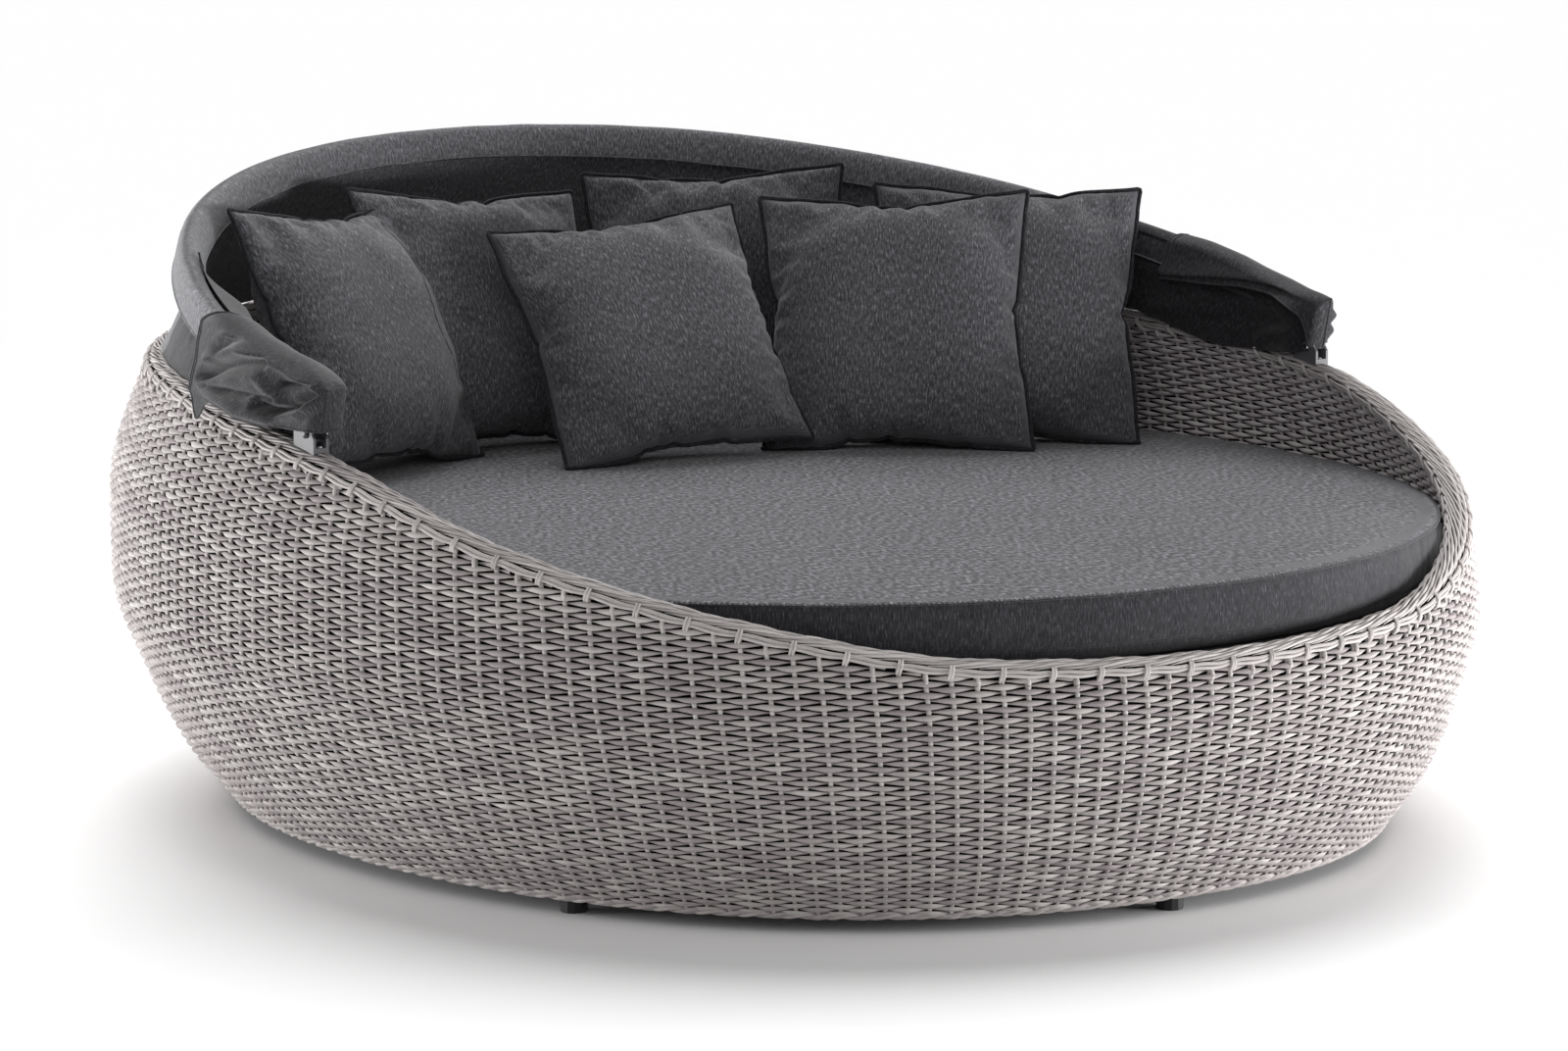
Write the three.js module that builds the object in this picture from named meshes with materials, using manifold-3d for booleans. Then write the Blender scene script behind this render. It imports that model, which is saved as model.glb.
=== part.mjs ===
// Outdoor daybed: a round double-walled wicker shell on a welded tube frame, a round mattress with
// six throw cushions, and a fabric canopy that folds back behind the seat. One of its three bows is fixed.
// Millimetres, +Z up, the front faces -Y, the origin is on the floor under the centre post.
import * as THREE from "three";
import { mergeVertices } from "three/addons/utils/BufferGeometryUtils.js";
import Module from "manifold-3d";

const wasm = await Module();
wasm.setup();

// Shell: overall sizes
const SHELL_WIDTH = 1954;
const RIM_FRONT = 379;
const RIM_BACK = 700;
const SHELL_LIFT = 20;
const PLAN_POWER = 2.1;
const depthShare = 1.11;
const leanShare = 0.22;
const leanLevelShare = 0.314;

// Shell: walls and frame tubes
const WALL = 31;
const SKIN = 5;
const TUBE = 20;
const CLEAR = 0.3;
const BORDER_DROP = 19;
const BORDER_TOP = 5;
const BORDER_PROUD = 1;
const BASE_SET = 12;
const RIBS = 8;
const RIB = 13;
const HOOP_SIDES = 6;
const BEAM_WIDE = 40;
const BEAM_HIGH = 20;
const POST = 50;
const POST_GLIDE = 70;
const POST_GLIDE_HIGH = 8;
const GLIDES = 6;
const GLIDE = 38;
const GLIDE_SET = 13;
const GLIDE_HIGH = 24;

// Deck and mattress
const DECK_TOP = 369;
const PANEL = 12;
const PANEL_SET = 6;
const DRAIN = 30;
const MATTRESS_THICK = 104;
const MATTRESS_SIDE_SET = 47;
const MATTRESS_FRONT_SET = 92.5;
const MATTRESS_BACK_SET = 34.5;
const MATTRESS_POWER = 2.1;
const MATTRESS_CROWN = 10;
const MATTRESS_BULGE = 5;
const MATTRESS_ROUND = 14;

// Cushions
const cushionShare = 0.2211;
const cushionThickShare = 0.347;
const cushionCrownShare = 0.22;
const CUSHION_DRAW = 17;
const CUSHION_GAP = 1;
const CUSHION_SINK = 9;

// Canopy: hinge line, bows and fabric
const HINGE_FORWARD = 138;
const PIVOT_RISE = 25;
const FOLD_TILT = THREE.MathUtils.degToRad(12.7);
const BOW_TUBE = 16;
const BOW_BEYOND = 22.5;
const BOW_BULGE = 14;
const BOW_POWER = 2.13;
const LEG_FIXED = 26;
const BOW_PITCH = 18;
const LEAF = 4;
const LEAF_WIDE = 20;
const LEAF_ARM = 10;
const LEAF_REACH = 38;
const TUBE_START = 13;
const WASHER = 1.6;
const WASHER_WIDE = 16;
const BOLT = 8;
const BOLT_PLAY = 0.3;
const BOLT_HEAD = 15;
const BOLT_HEAD_HIGH = 4.5;
const NUT_WIDE = 13;
const NUT_HIGH = 7;
const EAR = 4;
const EAR_FRONT = 20;
const EAR_BACK = 36;
const EAR_TOP = 14;
const SLOT_DROP = 20;
const SADDLE_SINK = 12;
const SCREW = 5;
const SCREW_HEAD = 9;
const SCREW_HEAD_HIGH = 3;
const SCREW_SPREAD = 14;
const STAY_BACK = 25;
const CLOTH = 2.5;
const LOOP = 34;
const SLEEVE_HANG = 42;
const SKIRT_WAVE = 7;
const GATHER_LONG = 350;
const GATHER_HANG = 92;
const GATHER_WIDE = 43;
const GATHER_WAVE = 3;

// Shares of the rim's rise, against shares of the half turn from front to back
const rimShares = [[0, 0], [0.111, 0.034], [0.222, 0.203], [0.333, 0.455], [0.444, 0.73], [0.611, 0.9], [1, 1]];
// Shares of the half width, against shares of the back rim's height
const profileShares = [[0, 0.83], [0.0286, 0.844], [0.157, 0.914], [0.314, 0.964], [0.486, 1], [0.686, 0.994], [1, 0.911]];

const MATTRESS_HALF = SHELL_WIDTH / 2 - MATTRESS_SIDE_SET;
const MATTRESS_FRONT = (SHELL_WIDTH / 2) * depthShare - MATTRESS_FRONT_SET;
const MATTRESS_BACK = (SHELL_WIDTH / 2) * depthShare - MATTRESS_BACK_SET;
const CUSHION = SHELL_WIDTH * cushionShare;
const CUSHION_THICK = CUSHION * cushionThickShare;
const BOW_DEPTH = (SHELL_WIDTH / 2) * depthShare + BOW_BEYOND;
const TUBE_IN = WALL / 2;
const BASE_IN = TUBE_IN + BASE_SET;
const PLATE = DECK_TOP - PANEL;
const SEAT = DECK_TOP + MATTRESS_THICK + CLEAR;
const STACK_PITCH = LEAF + WASHER + CLEAR;

const colours = {
  wicker: [0xb3aaa6, 0.62, 0],
  wickerDark: [0x8f8682, 0.68, 0],
  frame: [0x6d7073, 0.45, 0.7],
  steel: [0xc9cbcd, 0.3, 0.9],
  fabric: [0x3d3e41, 0.95, 0],
  seat: [0x4b4c50, 0.95, 0],
  plastic: [0x1d1d1e, 0.6, 0],
  deck: [0x55504a, 0.8, 0],
};

const daybed = new THREE.Group();

// Adds a named mesh
function add(name, geometry, finish) {
  const [color, roughness, metalness] = colours[finish];
  const mesh = new THREE.Mesh(geometry, new THREE.MeshStandardMaterial({ color, roughness, metalness }));
  mesh.name = name;
  geometry.computeVertexNormals();
  daybed.add(mesh);
  return mesh;
}

// Monotone cubic through a table of [place, value] shares
function through(table) {
  const last = table.length - 1;
  const slope = (i) => (table[i + 1][1] - table[i][1]) / (table[i + 1][0] - table[i][0]);
  const tangent = table.map((_, i) => {
    if (i === 0 || i === last) return i === 0 ? 0 : slope(last - 1);
    const before = slope(i - 1);
    const after = slope(i);
    return before * after <= 0 ? 0 : (2 * before * after) / (before + after);
  });
  return (place) => {
    const at = Math.min(Math.max(place, table[0][0]), table[last][0]);
    let i = 0;
    while (i < last - 1 && at > table[i + 1][0]) i += 1;
    const span = table[i + 1][0] - table[i][0];
    const u = (at - table[i][0]) / span;
    const a = (1 + 2 * u) * (1 - u) * (1 - u) * table[i][1] + u * (1 - u) * (1 - u) * span * tangent[i];
    return a + u * u * (3 - 2 * u) * table[i + 1][1] - u * u * (1 - u) * span * tangent[i + 1];
  };
}

const rimRise = through(rimShares);
const profile = through(profileShares);
const lerp = THREE.MathUtils.lerp;
const power = (value, share) => Math.sign(value) * Math.abs(value) ** share;

// Turns are counted from the front centre, half a turn is the back centre
function rimTop(turn) {
  const away = Math.abs(turn) / Math.PI;
  return lerp(RIM_FRONT, RIM_BACK, rimRise(away > 1 ? 2 - away : away));
}

// Half axes of the plan outline at a height, drawn in by inset
function outline(z, inset) {
  const half = (SHELL_WIDTH / 2) * profile(z / RIM_BACK);
  const lean = leanShare * (z - leanLevelShare * RIM_BACK);
  return { half: half - inset, front: half * depthShare - lean - inset, back: half * depthShare + lean - inset };
}

function wallPoint(turn, z, inset) {
  const o = outline(z, inset);
  const depth = Math.cos(turn) > 0 ? o.front : o.back;
  const x = o.half * power(Math.sin(turn), 2 / PLAN_POWER);
  return new THREE.Vector3(x, -depth * power(Math.cos(turn), 2 / PLAN_POWER), z);
}


// The two ways to split a four-sided face into triangles, by its corners
const nearSplit = [0, 1, 2, 0, 2, 3];
const farSplit = [0, 1, 3, 1, 2, 3];

// Faces between rings of equal length; ends are closed by ladders unless the rings close on themselves
function rings(list, closed) {
  const size = list[0].length;
  const index = [];
  const spans = closed ? list.length : list.length - 1;
  for (let i = 0; i < spans; i += 1) {
    const next = (i + 1) % list.length;
    for (let j = 0; j < size; j += 1) {
      const k = (j + 1) % size;
      const corners = [i * size + j, next * size + j, next * size + k, i * size + k];
      // The far face of an open sheet is split along the same diagonal as its near face
      const far = !closed && j >= size / 2;
      const order = far ? farSplit : nearSplit;
      index.push(...order.map((corner) => corners[corner]));
    }
  }
  if (!closed) {
    const end = (list.length - 1) * size;
    for (let j = 0; j < size / 2 - 1; j += 1) {
      const a = size - 1 - j;
      index.push(j, j + 1, a, j + 1, a - 1, a);
      index.push(end + j, end + a, end + j + 1, end + j + 1, end + a, end + a - 1);
    }
  }
  return facingOut(list.flat(), index);
}

// Rings stacked between two single points
function stacked(low, list, high) {
  const size = list[0].length;
  const index = [];
  for (let i = 0; i < list.length - 1; i += 1) {
    for (let j = 0; j < size; j += 1) {
      const k = (j + 1) % size;
      index.push(i * size + j, (i + 1) * size + j, (i + 1) * size + k);
      index.push(i * size + j, (i + 1) * size + k, i * size + k);
    }
  }
  const base = list.length * size;
  const top = (list.length - 1) * size;
  for (let j = 0; j < size; j += 1) {
    const k = (j + 1) % size;
    index.push(base, j, k, base + 1, top + k, top + j);
  }
  return facingOut([...list.flat(), low, high], index);
}

function facingOut(points, index) {
  let volume = 0;
  for (let i = 0; i < index.length; i += 3) {
    volume += points[index[i]].dot(new THREE.Vector3().crossVectors(points[index[i + 1]], points[index[i + 2]]));
  }
  const faces = volume < 0 ? index.slice().reverse() : index;
  const geometry = new THREE.BufferGeometry().setFromPoints(points);
  geometry.setIndex(faces);
  return geometry;
}

// Joins and cuts
function solid(geometry) {
  const bare = new THREE.BufferGeometry().setAttribute("position", geometry.getAttribute("position"));
  if (geometry.index) bare.setIndex(geometry.index);
  const merged = mergeVertices(bare, CLEAR / 100);
  const vertProperties = Float32Array.from(merged.attributes.position.array);
  return new wasm.Manifold(new wasm.Mesh({ numProp: 3, vertProperties, triVerts: new Uint32Array(merged.index.array) }));
}

function geometryOf(body) {
  const mesh = body.getMesh();
  const geometry = new THREE.BufferGeometry();
  geometry.setAttribute("position", new THREE.BufferAttribute(mesh.vertProperties, mesh.numProp));
  geometry.setIndex(new THREE.BufferAttribute(mesh.triVerts, 1));
  return geometry;
}

function cut(geometry, ...tools) {
  return geometryOf(tools.reduce((body, tool) => body.subtract(solid(tool)), solid(geometry)));
}

// Keeps the largest body that a cut leaves
function largest(geometry) {
  return geometryOf(solid(geometry).decompose().reduce((a, b) => (a.volume() > b.volume() ? a : b)));
}

function join(...pieces) {
  return geometryOf(pieces.slice(1).reduce((body, piece) => body.add(solid(piece)), solid(pieces[0])));
}

function rod(diameter, length, sides) {
  return new THREE.CylinderGeometry(diameter / 2, diameter / 2, length, sides);
}

const uprightRod = (diameter, length, sides) => rod(diameter, length, sides).rotateX(Math.PI / 2);
const crossRod = (diameter, length, sides) => rod(diameter, length, sides).rotateZ(Math.PI / 2);

// Shell: skins, border and hoops
const AROUND = 48;
const turns = Array.from({ length: AROUND }, (_, i) => (i / AROUND) * 2 * Math.PI);

// Levels lie closer together near the floor, where the wall curves most
const levelPower = 1.2;

// A skin between two heights that may follow the rim; inset is its outer face
function skin(low, high, inset, levels) {
  return rings(turns.map((turn) => {
    const side = (depth) => Array.from({ length: levels + 1 }, (_, i) => (
      wallPoint(turn, lerp(low(turn), high(turn), (i / levels) ** levelPower), depth)));
    return [...side(inset), ...side(inset + SKIN).reverse()];
  }), true);
}

const underBorder = (turn) => rimTop(turn) - BORDER_DROP - CLEAR;
add("outer_wicker_shell", skin(() => SHELL_LIFT, underBorder, 0, 8), "wicker");
add("inner_wicker_liner", skin(() => PLATE, underBorder, WALL - SKIN, 2), "wickerDark");

// The border is a woven cap over the rim tube: a round back and two legs
const borderShares = [[0, 0.35], [0.1, 0.06], [0.3, 0], [0.7, 0], [0.9, 0.06], [1, 0.35]];

function border(grow) {
  return rings(turns.map((turn) => {
    const top = rimTop(turn);
    const low = top - BORDER_DROP - grow;
    const wide = WALL + 2 * (BORDER_PROUD + grow);
    const back = borderShares.map(([across, down]) => (
      wallPoint(turn, top + grow - BORDER_DROP * down, across * wide - BORDER_PROUD - grow)));
    const roof = top - BORDER_TOP - grow;
    const legs = [[low, WALL + BORDER_PROUD + grow], [low, WALL - SKIN - grow], [roof, WALL - SKIN - grow],
      [roof, SKIN + grow], [low, SKIN + grow], [low, -BORDER_PROUD - grow]];
    return [...back, ...legs.map(([z, inset]) => wallPoint(turn, z, inset))];
  }), true);
}

// A round hoop round the shell at a height and inset of its own
function hoop(height, inset, grow) {
  const radius = TUBE / 2 + grow;
  return rings(turns.map((turn) => (
    Array.from({ length: HOOP_SIDES }, (_, j) => {
      const a = (j / HOOP_SIDES) * 2 * Math.PI;
      return wallPoint(turn, height(turn) + radius * Math.sin(a), inset).add(
        inward(turn, height(turn)).multiplyScalar(radius * Math.cos(a)));
    }))), true);
}

// Level direction from the wall towards the seat
function inward(turn, z) {
  return wallPoint(turn, z, TUBE).sub(wallPoint(turn, z, 0)).setZ(0).normalize();
}

const rimTubeHeight = (turn) => rimTop(turn) - BORDER_TOP - 2 * CLEAR - tubeHalf;
const baseHeight = () => GLIDE_HIGH + CLEAR + tubeHalf;
const deckHeight = () => PLATE - CLEAR - tubeHalf;
const tubeHalf = (TUBE / 2) * Math.cos(Math.PI / HOOP_SIDES);
const DECK_IN = TUBE_IN + RIB / 2 + CLEAR + TUBE / 2;

// Hinge line: where the brackets stand on the rim
const hingeTurn = hingeTurnAt();
const PIVOT_Z = rimTop(hingeTurn) + PIVOT_RISE;
const HINGE_X = wallPoint(hingeTurn, rimTop(hingeTurn), WALL / 2).x;

function hingeTurnAt() {
  let low = Math.PI / 4;
  let high = Math.PI / 2;
  for (let i = 0; i < 40; i += 1) {
    const turn = (low + high) / 2;
    if (-wallPoint(turn, rimTop(turn), WALL / 2).y > HINGE_FORWARD) low = turn;
    else high = turn;
  }
  return (low + high) / 2;
}

// Screws fix each bracket through the border into the rim tube
const screwLong = PIVOT_RISE - SLOT_DROP + BORDER_TOP + TUBE / 2;
const screwPlaces = [-1, 1].flatMap((side) => [-1, 1].map((end) => (
  [side * HINGE_X, -HINGE_FORWARD + end * SCREW_SPREAD])));

function screwHoles() {
  const length = 2 * screwLong;
  return screwPlaces.map(([x, y]) => (
    uprightRod(SCREW + 2 * BOLT_PLAY, length, 8).translate(x, y, PIVOT_Z - SLOT_DROP - screwLong - BOLT_PLAY + length / 2)));
}

function frame() {
  add("rim_border", cut(border(0), ...screwHoles()), "wicker");
  add("rim_tube", cut(hoop(rimTubeHeight, TUBE_IN, 0), ...screwHoles()), "frame");
  add("base_ring", hoop(baseHeight, BASE_IN, 0), "frame");
  add("deck_ring", hoop(deckHeight, DECK_IN, 0), "frame");
  const ends = [hoop(baseHeight, BASE_IN, CLEAR), hoop(rimTubeHeight, TUBE_IN, CLEAR), hoop(deckHeight, DECK_IN, CLEAR)];
  for (let i = 0; i < RIBS; i += 1) {
    const turn = ((i + 0.5) / RIBS) * 2 * Math.PI;
    add(`frame_rib_${i + 1}`, cut(rib(turn), ...ends), "frame");
  }
}

function rib(turn) {
  const steps = 8;
  const list = Array.from({ length: steps + 1 }, (_, i) => {
    const z = lerp(baseHeight(turn), rimTubeHeight(turn), i / steps);
    const out = inward(turn, z);
    const side = new THREE.Vector3(-out.y, out.x, 0);
    const centre = wallPoint(turn, z, lerp(TUBE_IN, BASE_IN, (1 - i / steps) ** 3));
    return Array.from({ length: 8 }, (_, j) => {
      const a = ((j + 0.5) / 8) * 2 * Math.PI;
      return centre.clone().addScaledVector(out, (RIB / 2) * Math.cos(a)).addScaledVector(side, (RIB / 2) * Math.sin(a));
    });
  });
  return rings(list, false);
}

// Deck: panel with drain holes, three beams and a post under the middle one
const beamShares = [-0.5, 0, 0.5];
const drainShares = [[0.3, 4], [0.62, 8]];

function deck() {
  const edge = turns.map((turn) => wallPoint(turn, PLATE, WALL + PANEL_SET));
  const shape = new THREE.Shape(edge.map((p) => new THREE.Vector2(p.x, p.y)));
  for (const [share, count] of drainShares) {
    for (let i = 0; i < count; i += 1) {
      const p = wallPoint(((i + 0.5) / count) * 2 * Math.PI, PLATE, WALL);
      shape.holes.push(new THREE.Path().absarc(p.x * share, p.y * share, DRAIN / 2, 0, 2 * Math.PI, true));
    }
  }
  const panel = new THREE.ExtrudeGeometry(shape, { depth: PANEL, bevelEnabled: false, curveSegments: 4 });
  add("deck_panel", panel.translate(0, 0, PLATE), "deck");
  const ring = hoop(deckHeight, DECK_IN, CLEAR);
  const top = PLATE - CLEAR;
  beamShares.forEach((share, i) => {
    const o = outline(deckHeight(), DECK_IN);
    const depth = share < 0 ? o.front : o.back;
    const away = Math.abs(share) + BEAM_WIDE / 2 / depth;
    const half = o.half * (1 - away ** PLAN_POWER) ** (1 / PLAN_POWER) - TUBE / 3;
    const beam = new THREE.BoxGeometry(2 * half, BEAM_WIDE, BEAM_HIGH);
    add(`deck_beam_${i + 1}`, cut(beam.translate(0, share * depth, top - BEAM_HIGH / 2), ring), "frame");
  });
  const under = top - BEAM_HIGH - CLEAR;
  const foot = POST_GLIDE_HIGH + CLEAR;
  add("centre_post", uprightRod(POST, under - foot, 16).translate(0, 0, (under + foot) / 2), "frame");
  add("centre_glide", uprightRod(POST_GLIDE, POST_GLIDE_HIGH, 12).translate(0, 0, POST_GLIDE_HIGH / 2), "plastic");
  for (let i = 0; i < GLIDES; i += 1) {
    const p = wallPoint((i / GLIDES) * 2 * Math.PI, baseHeight(), BASE_IN + GLIDE_SET);
    add(`foot_glide_${i + 1}`, uprightRod(GLIDE, GLIDE_HIGH, 12).translate(p.x, p.y, GLIDE_HIGH / 2), "plastic");
  }
}

// Mattress: boxed side that swells a little, rounded seams and a slight crown
// Side: shares of the thickness, then of the rounding and of the bulge. Crown: shares of the half width and of the rise
const mattressSideShares = [[0, 1, 0], [0.05, 0.04, 0], [0.28, 0, 0.8], [0.5, 0, 1], [0.72, 0, 0.8], [0.95, 0.04, 0], [1, 1, 0]];
const mattressCrownShares = [[0.12, 0.55], [0.4, 0.9], [0.75, 1]];

function mattress() {
  const low = DECK_TOP + CLEAR;
  const ring = (z, inset) => turns.map((turn) => {
    const depth = Math.cos(turn) > 0 ? MATTRESS_FRONT : MATTRESS_BACK;
    const x = (MATTRESS_HALF - inset) * power(Math.sin(turn), 2 / MATTRESS_POWER);
    return new THREE.Vector3(x, -(depth - inset) * power(Math.cos(turn), 2 / MATTRESS_POWER), z);
  });
  const side = MATTRESS_THICK - MATTRESS_CROWN;
  const list = mattressSideShares.map(([share, round, bulge]) => (
    ring(low + side * share, MATTRESS_ROUND * round - MATTRESS_BULGE * bulge)));
  const crown = mattressCrownShares.map(([share, rise]) => (
    ring(SEAT - MATTRESS_CROWN * (1 - rise), MATTRESS_ROUND + share * MATTRESS_HALF)));
  const low0 = new THREE.Vector3(0, 0, low);
  const high0 = new THREE.Vector3(0, 0, SEAT);
  return stacked(low0, [...list, ...crown], high0);
}

// Throw cushions: each stands on its lower edge and leans back.
// Place of the lower edge's middle in shares of the mattress's half width, then yaw, lean and roll in degrees
const cushionShares = {
  cushion_left: [-0.43, 0.52, 26, 26, 5],
  cushion_back_left: [-0.152, 0.64, 4, 22, 3.5],
  cushion_back_centre: [0.318, 0.668, -28, 15, -2],
  cushion_front_centre: [0.036, 0.352, -10, 34, -5],
  cushion_front_right: [0.394, 0.262, -37, 23, -1.5],
  cushion_right: [0.606, 0.24, -33, 21, 1.5],
};

function cushion(place, grow) {
  const cells = 8;
  const half = CUSHION / 2 + grow;
  const thick = CUSHION_THICK / 2 + grow;
  const points = [];
  const at = (i, j, face) => {
    const u = Math.sin(((i / cells) * 2 - 1) * Math.PI / 2);
    const v = Math.sin(((j / cells) * 2 - 1) * Math.PI / 2);
    const draw = (a) => 1 - (CUSHION_DRAW / half) * (1 - a * a);
    const swell = Math.max((1 - u ** 4) * (1 - v ** 4), 0) ** 0.5 * (1 - cushionCrownShare * (u * u + v * v) / 2);
    return new THREE.Vector3(u * half * draw(v), face * thick * swell, v * half * draw(u) + half);
  };
  const index = [];
  const id = new Map();
  const key = (i, j, face) => {
    const rim = i === 0 || j === 0 || i === cells || j === cells;
    const name = `${i},${j},${rim ? 0 : face}`;
    if (!id.has(name)) {
      id.set(name, points.length);
      points.push(at(i, j, rim ? 0 : face));
    }
    return id.get(name);
  };
  for (const face of [-1, 1]) {
    for (let i = 0; i < cells; i += 1) {
      for (let j = 0; j < cells; j += 1) {
        const q = [key(i, j, face), key(i + 1, j, face), key(i + 1, j + 1, face), key(i, j + 1, face)];
        if (face > 0) q.reverse();
        index.push(q[0], q[1], q[2], q[0], q[2], q[3]);
      }
    }
  }
  const geometry = facingOut(points, index);
  const [x, y, yaw, lean, roll] = place;
  const deg = THREE.MathUtils.degToRad;
  const down = half * Math.abs(Math.sin(deg(roll))) * Math.cos(deg(lean)) - CUSHION_SINK;
  geometry.rotateY(deg(roll)).rotateX(deg(-lean)).rotateZ(deg(yaw));
  return geometry.translate(x * MATTRESS_HALF, y * MATTRESS_HALF, SEAT + down - grow);
}

function cushions() {
  const made = [];
  const order = ["cushion_front_centre", "cushion_front_right", "cushion_left", "cushion_right",
    "cushion_back_left", "cushion_back_centre"];
  for (const name of order) {
    const place = cushionShares[name];
    const tools = [...made.map((other) => cushion(other, CUSHION_GAP / 2)), mattress().translate(0, 0, CLEAR)];
    add(name, cut(cushion(place, 0), ...tools), "fabric");
    made.push(place);
  }
}

// Canopy bows. s runs back along the folded bow, n stands square to it, both from the pivot
const along = new THREE.Vector3(0, Math.cos(FOLD_TILT), Math.sin(FOLD_TILT));
const square = new THREE.Vector3(0, -Math.sin(FOLD_TILT), Math.cos(FOLD_TILT));
const pivot = (x) => new THREE.Vector3(x, -HINGE_FORWARD, PIVOT_Z);
const sidePoint = (x, s, n) => pivot(x).addScaledVector(along, s).addScaledVector(square, n);
// Half turn left out at each end of a bow's round, in radians
const bowStartShare = 0.09;
const bowHeights = [0, 1, 2].map((k) => LEG_FIXED + k * BOW_PITCH);
const leafX = [-1, 0, 1].map((k) => HINGE_X + k * STACK_PITCH);

// Centre line of a bow as a curve over 0 to 1; k is 0 for the fixed, 1 for the middle, 2 for the front bow
function bowCurve(k) {
  const half = leafX[k] + BOW_BULGE;
  const points = [sidePoint(leafX[k], TUBE_START, bowHeights[k]), sidePoint(leafX[k], 3 * TUBE_START, bowHeights[k])];
  const steps = 20;
  for (let i = 0; i <= steps; i += 1) {
    const t = lerp(bowStartShare, Math.PI - bowStartShare, i / steps);
    points.push(sidePoint(half * power(Math.cos(t), 2 / BOW_POWER), BOW_DEPTH * Math.sin(t) ** (2 / BOW_POWER), bowHeights[k]));
  }
  points.push(sidePoint(-leafX[k], 3 * TUBE_START, bowHeights[k]), sidePoint(-leafX[k], TUBE_START, bowHeights[k]));
  return new THREE.CatmullRomCurve3(points, false, "centripetal");
}

// Outward direction in the bow's plane
function outward(curve, u) {
  const t = curve.getTangentAt(u);
  return new THREE.Vector3().crossVectors(t, square).normalize();
}

function bowTube(k) {
  const shape = new THREE.Shape().absarc(0, 0, BOW_TUBE / 2, 0, 2 * Math.PI, false);
  return new THREE.ExtrudeGeometry(shape, {
    steps: 32, extrudePath: bowCurve(k), bevelEnabled: false, curveSegments: 4,
  });
}

// A plate in the plane of s and n, centred on x
function sidePlate(shape, thick, x) {
  const plate = new THREE.ExtrudeGeometry(shape, { depth: thick, bevelEnabled: false, curveSegments: 6 });
  const basis = new THREE.Matrix4().makeBasis(along, square, new THREE.Vector3(1, 0, 0));
  return plate.translate(0, 0, -thick / 2).applyMatrix4(basis).translate(x, -HINGE_FORWARD, PIVOT_Z);
}

// Flattened leg of a bow: an eye round the pivot bolt, and up to the tube
function leaf(k, side) {
  const half = LEAF_WIDE / 2;
  const shape = new THREE.Shape();
  const top = bowHeights[k] + LEAF_ARM / 2;
  shape.moveTo(half, top - LEAF_ARM);
  shape.lineTo(LEAF_REACH, top - LEAF_ARM);
  shape.lineTo(LEAF_REACH, top);
  shape.lineTo(-half, top);
  shape.lineTo(-half, 0);
  shape.absarc(0, 0, half, Math.PI, 2 * Math.PI, false);
  if (k === 0) {
    shape.lineTo(STAY_BACK, -half);
    shape.absarc(STAY_BACK, 0, half, -Math.PI / 2, Math.PI / 2, false);
    shape.lineTo(half, half);
    shape.holes.push(new THREE.Path().absarc(STAY_BACK, 0, SCREW / 2 + BOLT_PLAY, 0, 2 * Math.PI, true));
  }
  shape.holes.push(new THREE.Path().absarc(0, 0, BOLT / 2 + BOLT_PLAY, 0, 2 * Math.PI, true));
  return sidePlate(shape, LEAF, side * leafX[k]);
}

function bows() {
  ["bow_fixed", "bow_middle", "bow_front"].forEach((name, k) => {
    add(name, join(bowTube(k), leaf(k, 1), leaf(k, -1)), "frame");
  });
}

// Hinge brackets: a saddle fitted to the border, with two ears for the pivot bolt
function bracket(side) {
  const inner = 1.5 * STACK_PITCH - WASHER / 2 + CLEAR / 2;
  const outer = inner + EAR;
  const low = -PIVOT_RISE - SADDLE_SINK;
  const ears = new THREE.Shape();
  ears.moveTo(-outer, low);
  ears.lineTo(outer, low);
  ears.lineTo(outer, EAR_TOP);
  ears.lineTo(inner, EAR_TOP);
  ears.lineTo(inner, -SLOT_DROP);
  ears.lineTo(-inner, -SLOT_DROP);
  ears.lineTo(-inner, EAR_TOP);
  ears.lineTo(-outer, EAR_TOP);
  const length = EAR_FRONT + EAR_BACK;
  const body = new THREE.ExtrudeGeometry(ears, { depth: length, bevelEnabled: false });
  body.rotateX(Math.PI / 2).translate(0, length - EAR_FRONT, 0);
  const view = new THREE.Shape();
  view.moveTo(-EAR_FRONT, low);
  view.lineTo(EAR_BACK, low);
  view.lineTo(EAR_BACK, -EAR_TOP / 2);
  view.absarc(STAY_BACK, 0, EAR_BACK - STAY_BACK, 0, Math.PI / 2, false);
  view.lineTo(EAR_TOP, EAR_TOP);
  view.absarc(0, 0, EAR_TOP, Math.PI / 2, Math.PI, false);
  view.lineTo(-EAR_FRONT, -EAR_TOP / 2);
  const around = new THREE.ExtrudeGeometry(view, { depth: 4 * outer, bevelEnabled: false, curveSegments: 8 });
  const basis = new THREE.Matrix4().makeBasis(
    new THREE.Vector3(0, 1, 0), new THREE.Vector3(0, 0, 1), new THREE.Vector3(1, 0, 0));
  around.translate(0, 0, -2 * outer).applyMatrix4(basis);
  const trimmed = solid(body).intersect(solid(around));
  const placed = geometryOf(trimmed).translate(side * HINGE_X, -HINGE_FORWARD, PIVOT_Z);
  const hole = crossRod(BOLT + 2 * BOLT_PLAY, 4 * outer, 16).translate(side * HINGE_X, -HINGE_FORWARD, PIVOT_Z);
  const stay = sidePoint(side * HINGE_X, STAY_BACK, 0);
  const stayHole = crossRod(SCREW + 2 * BOLT_PLAY, 2 * outer, 10).translate(stay.x - side * outer, stay.y, stay.z);
  return cut(largest(cut(placed, border(CLEAR))), hole, stayHole, ...screwHoles());
}

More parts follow.
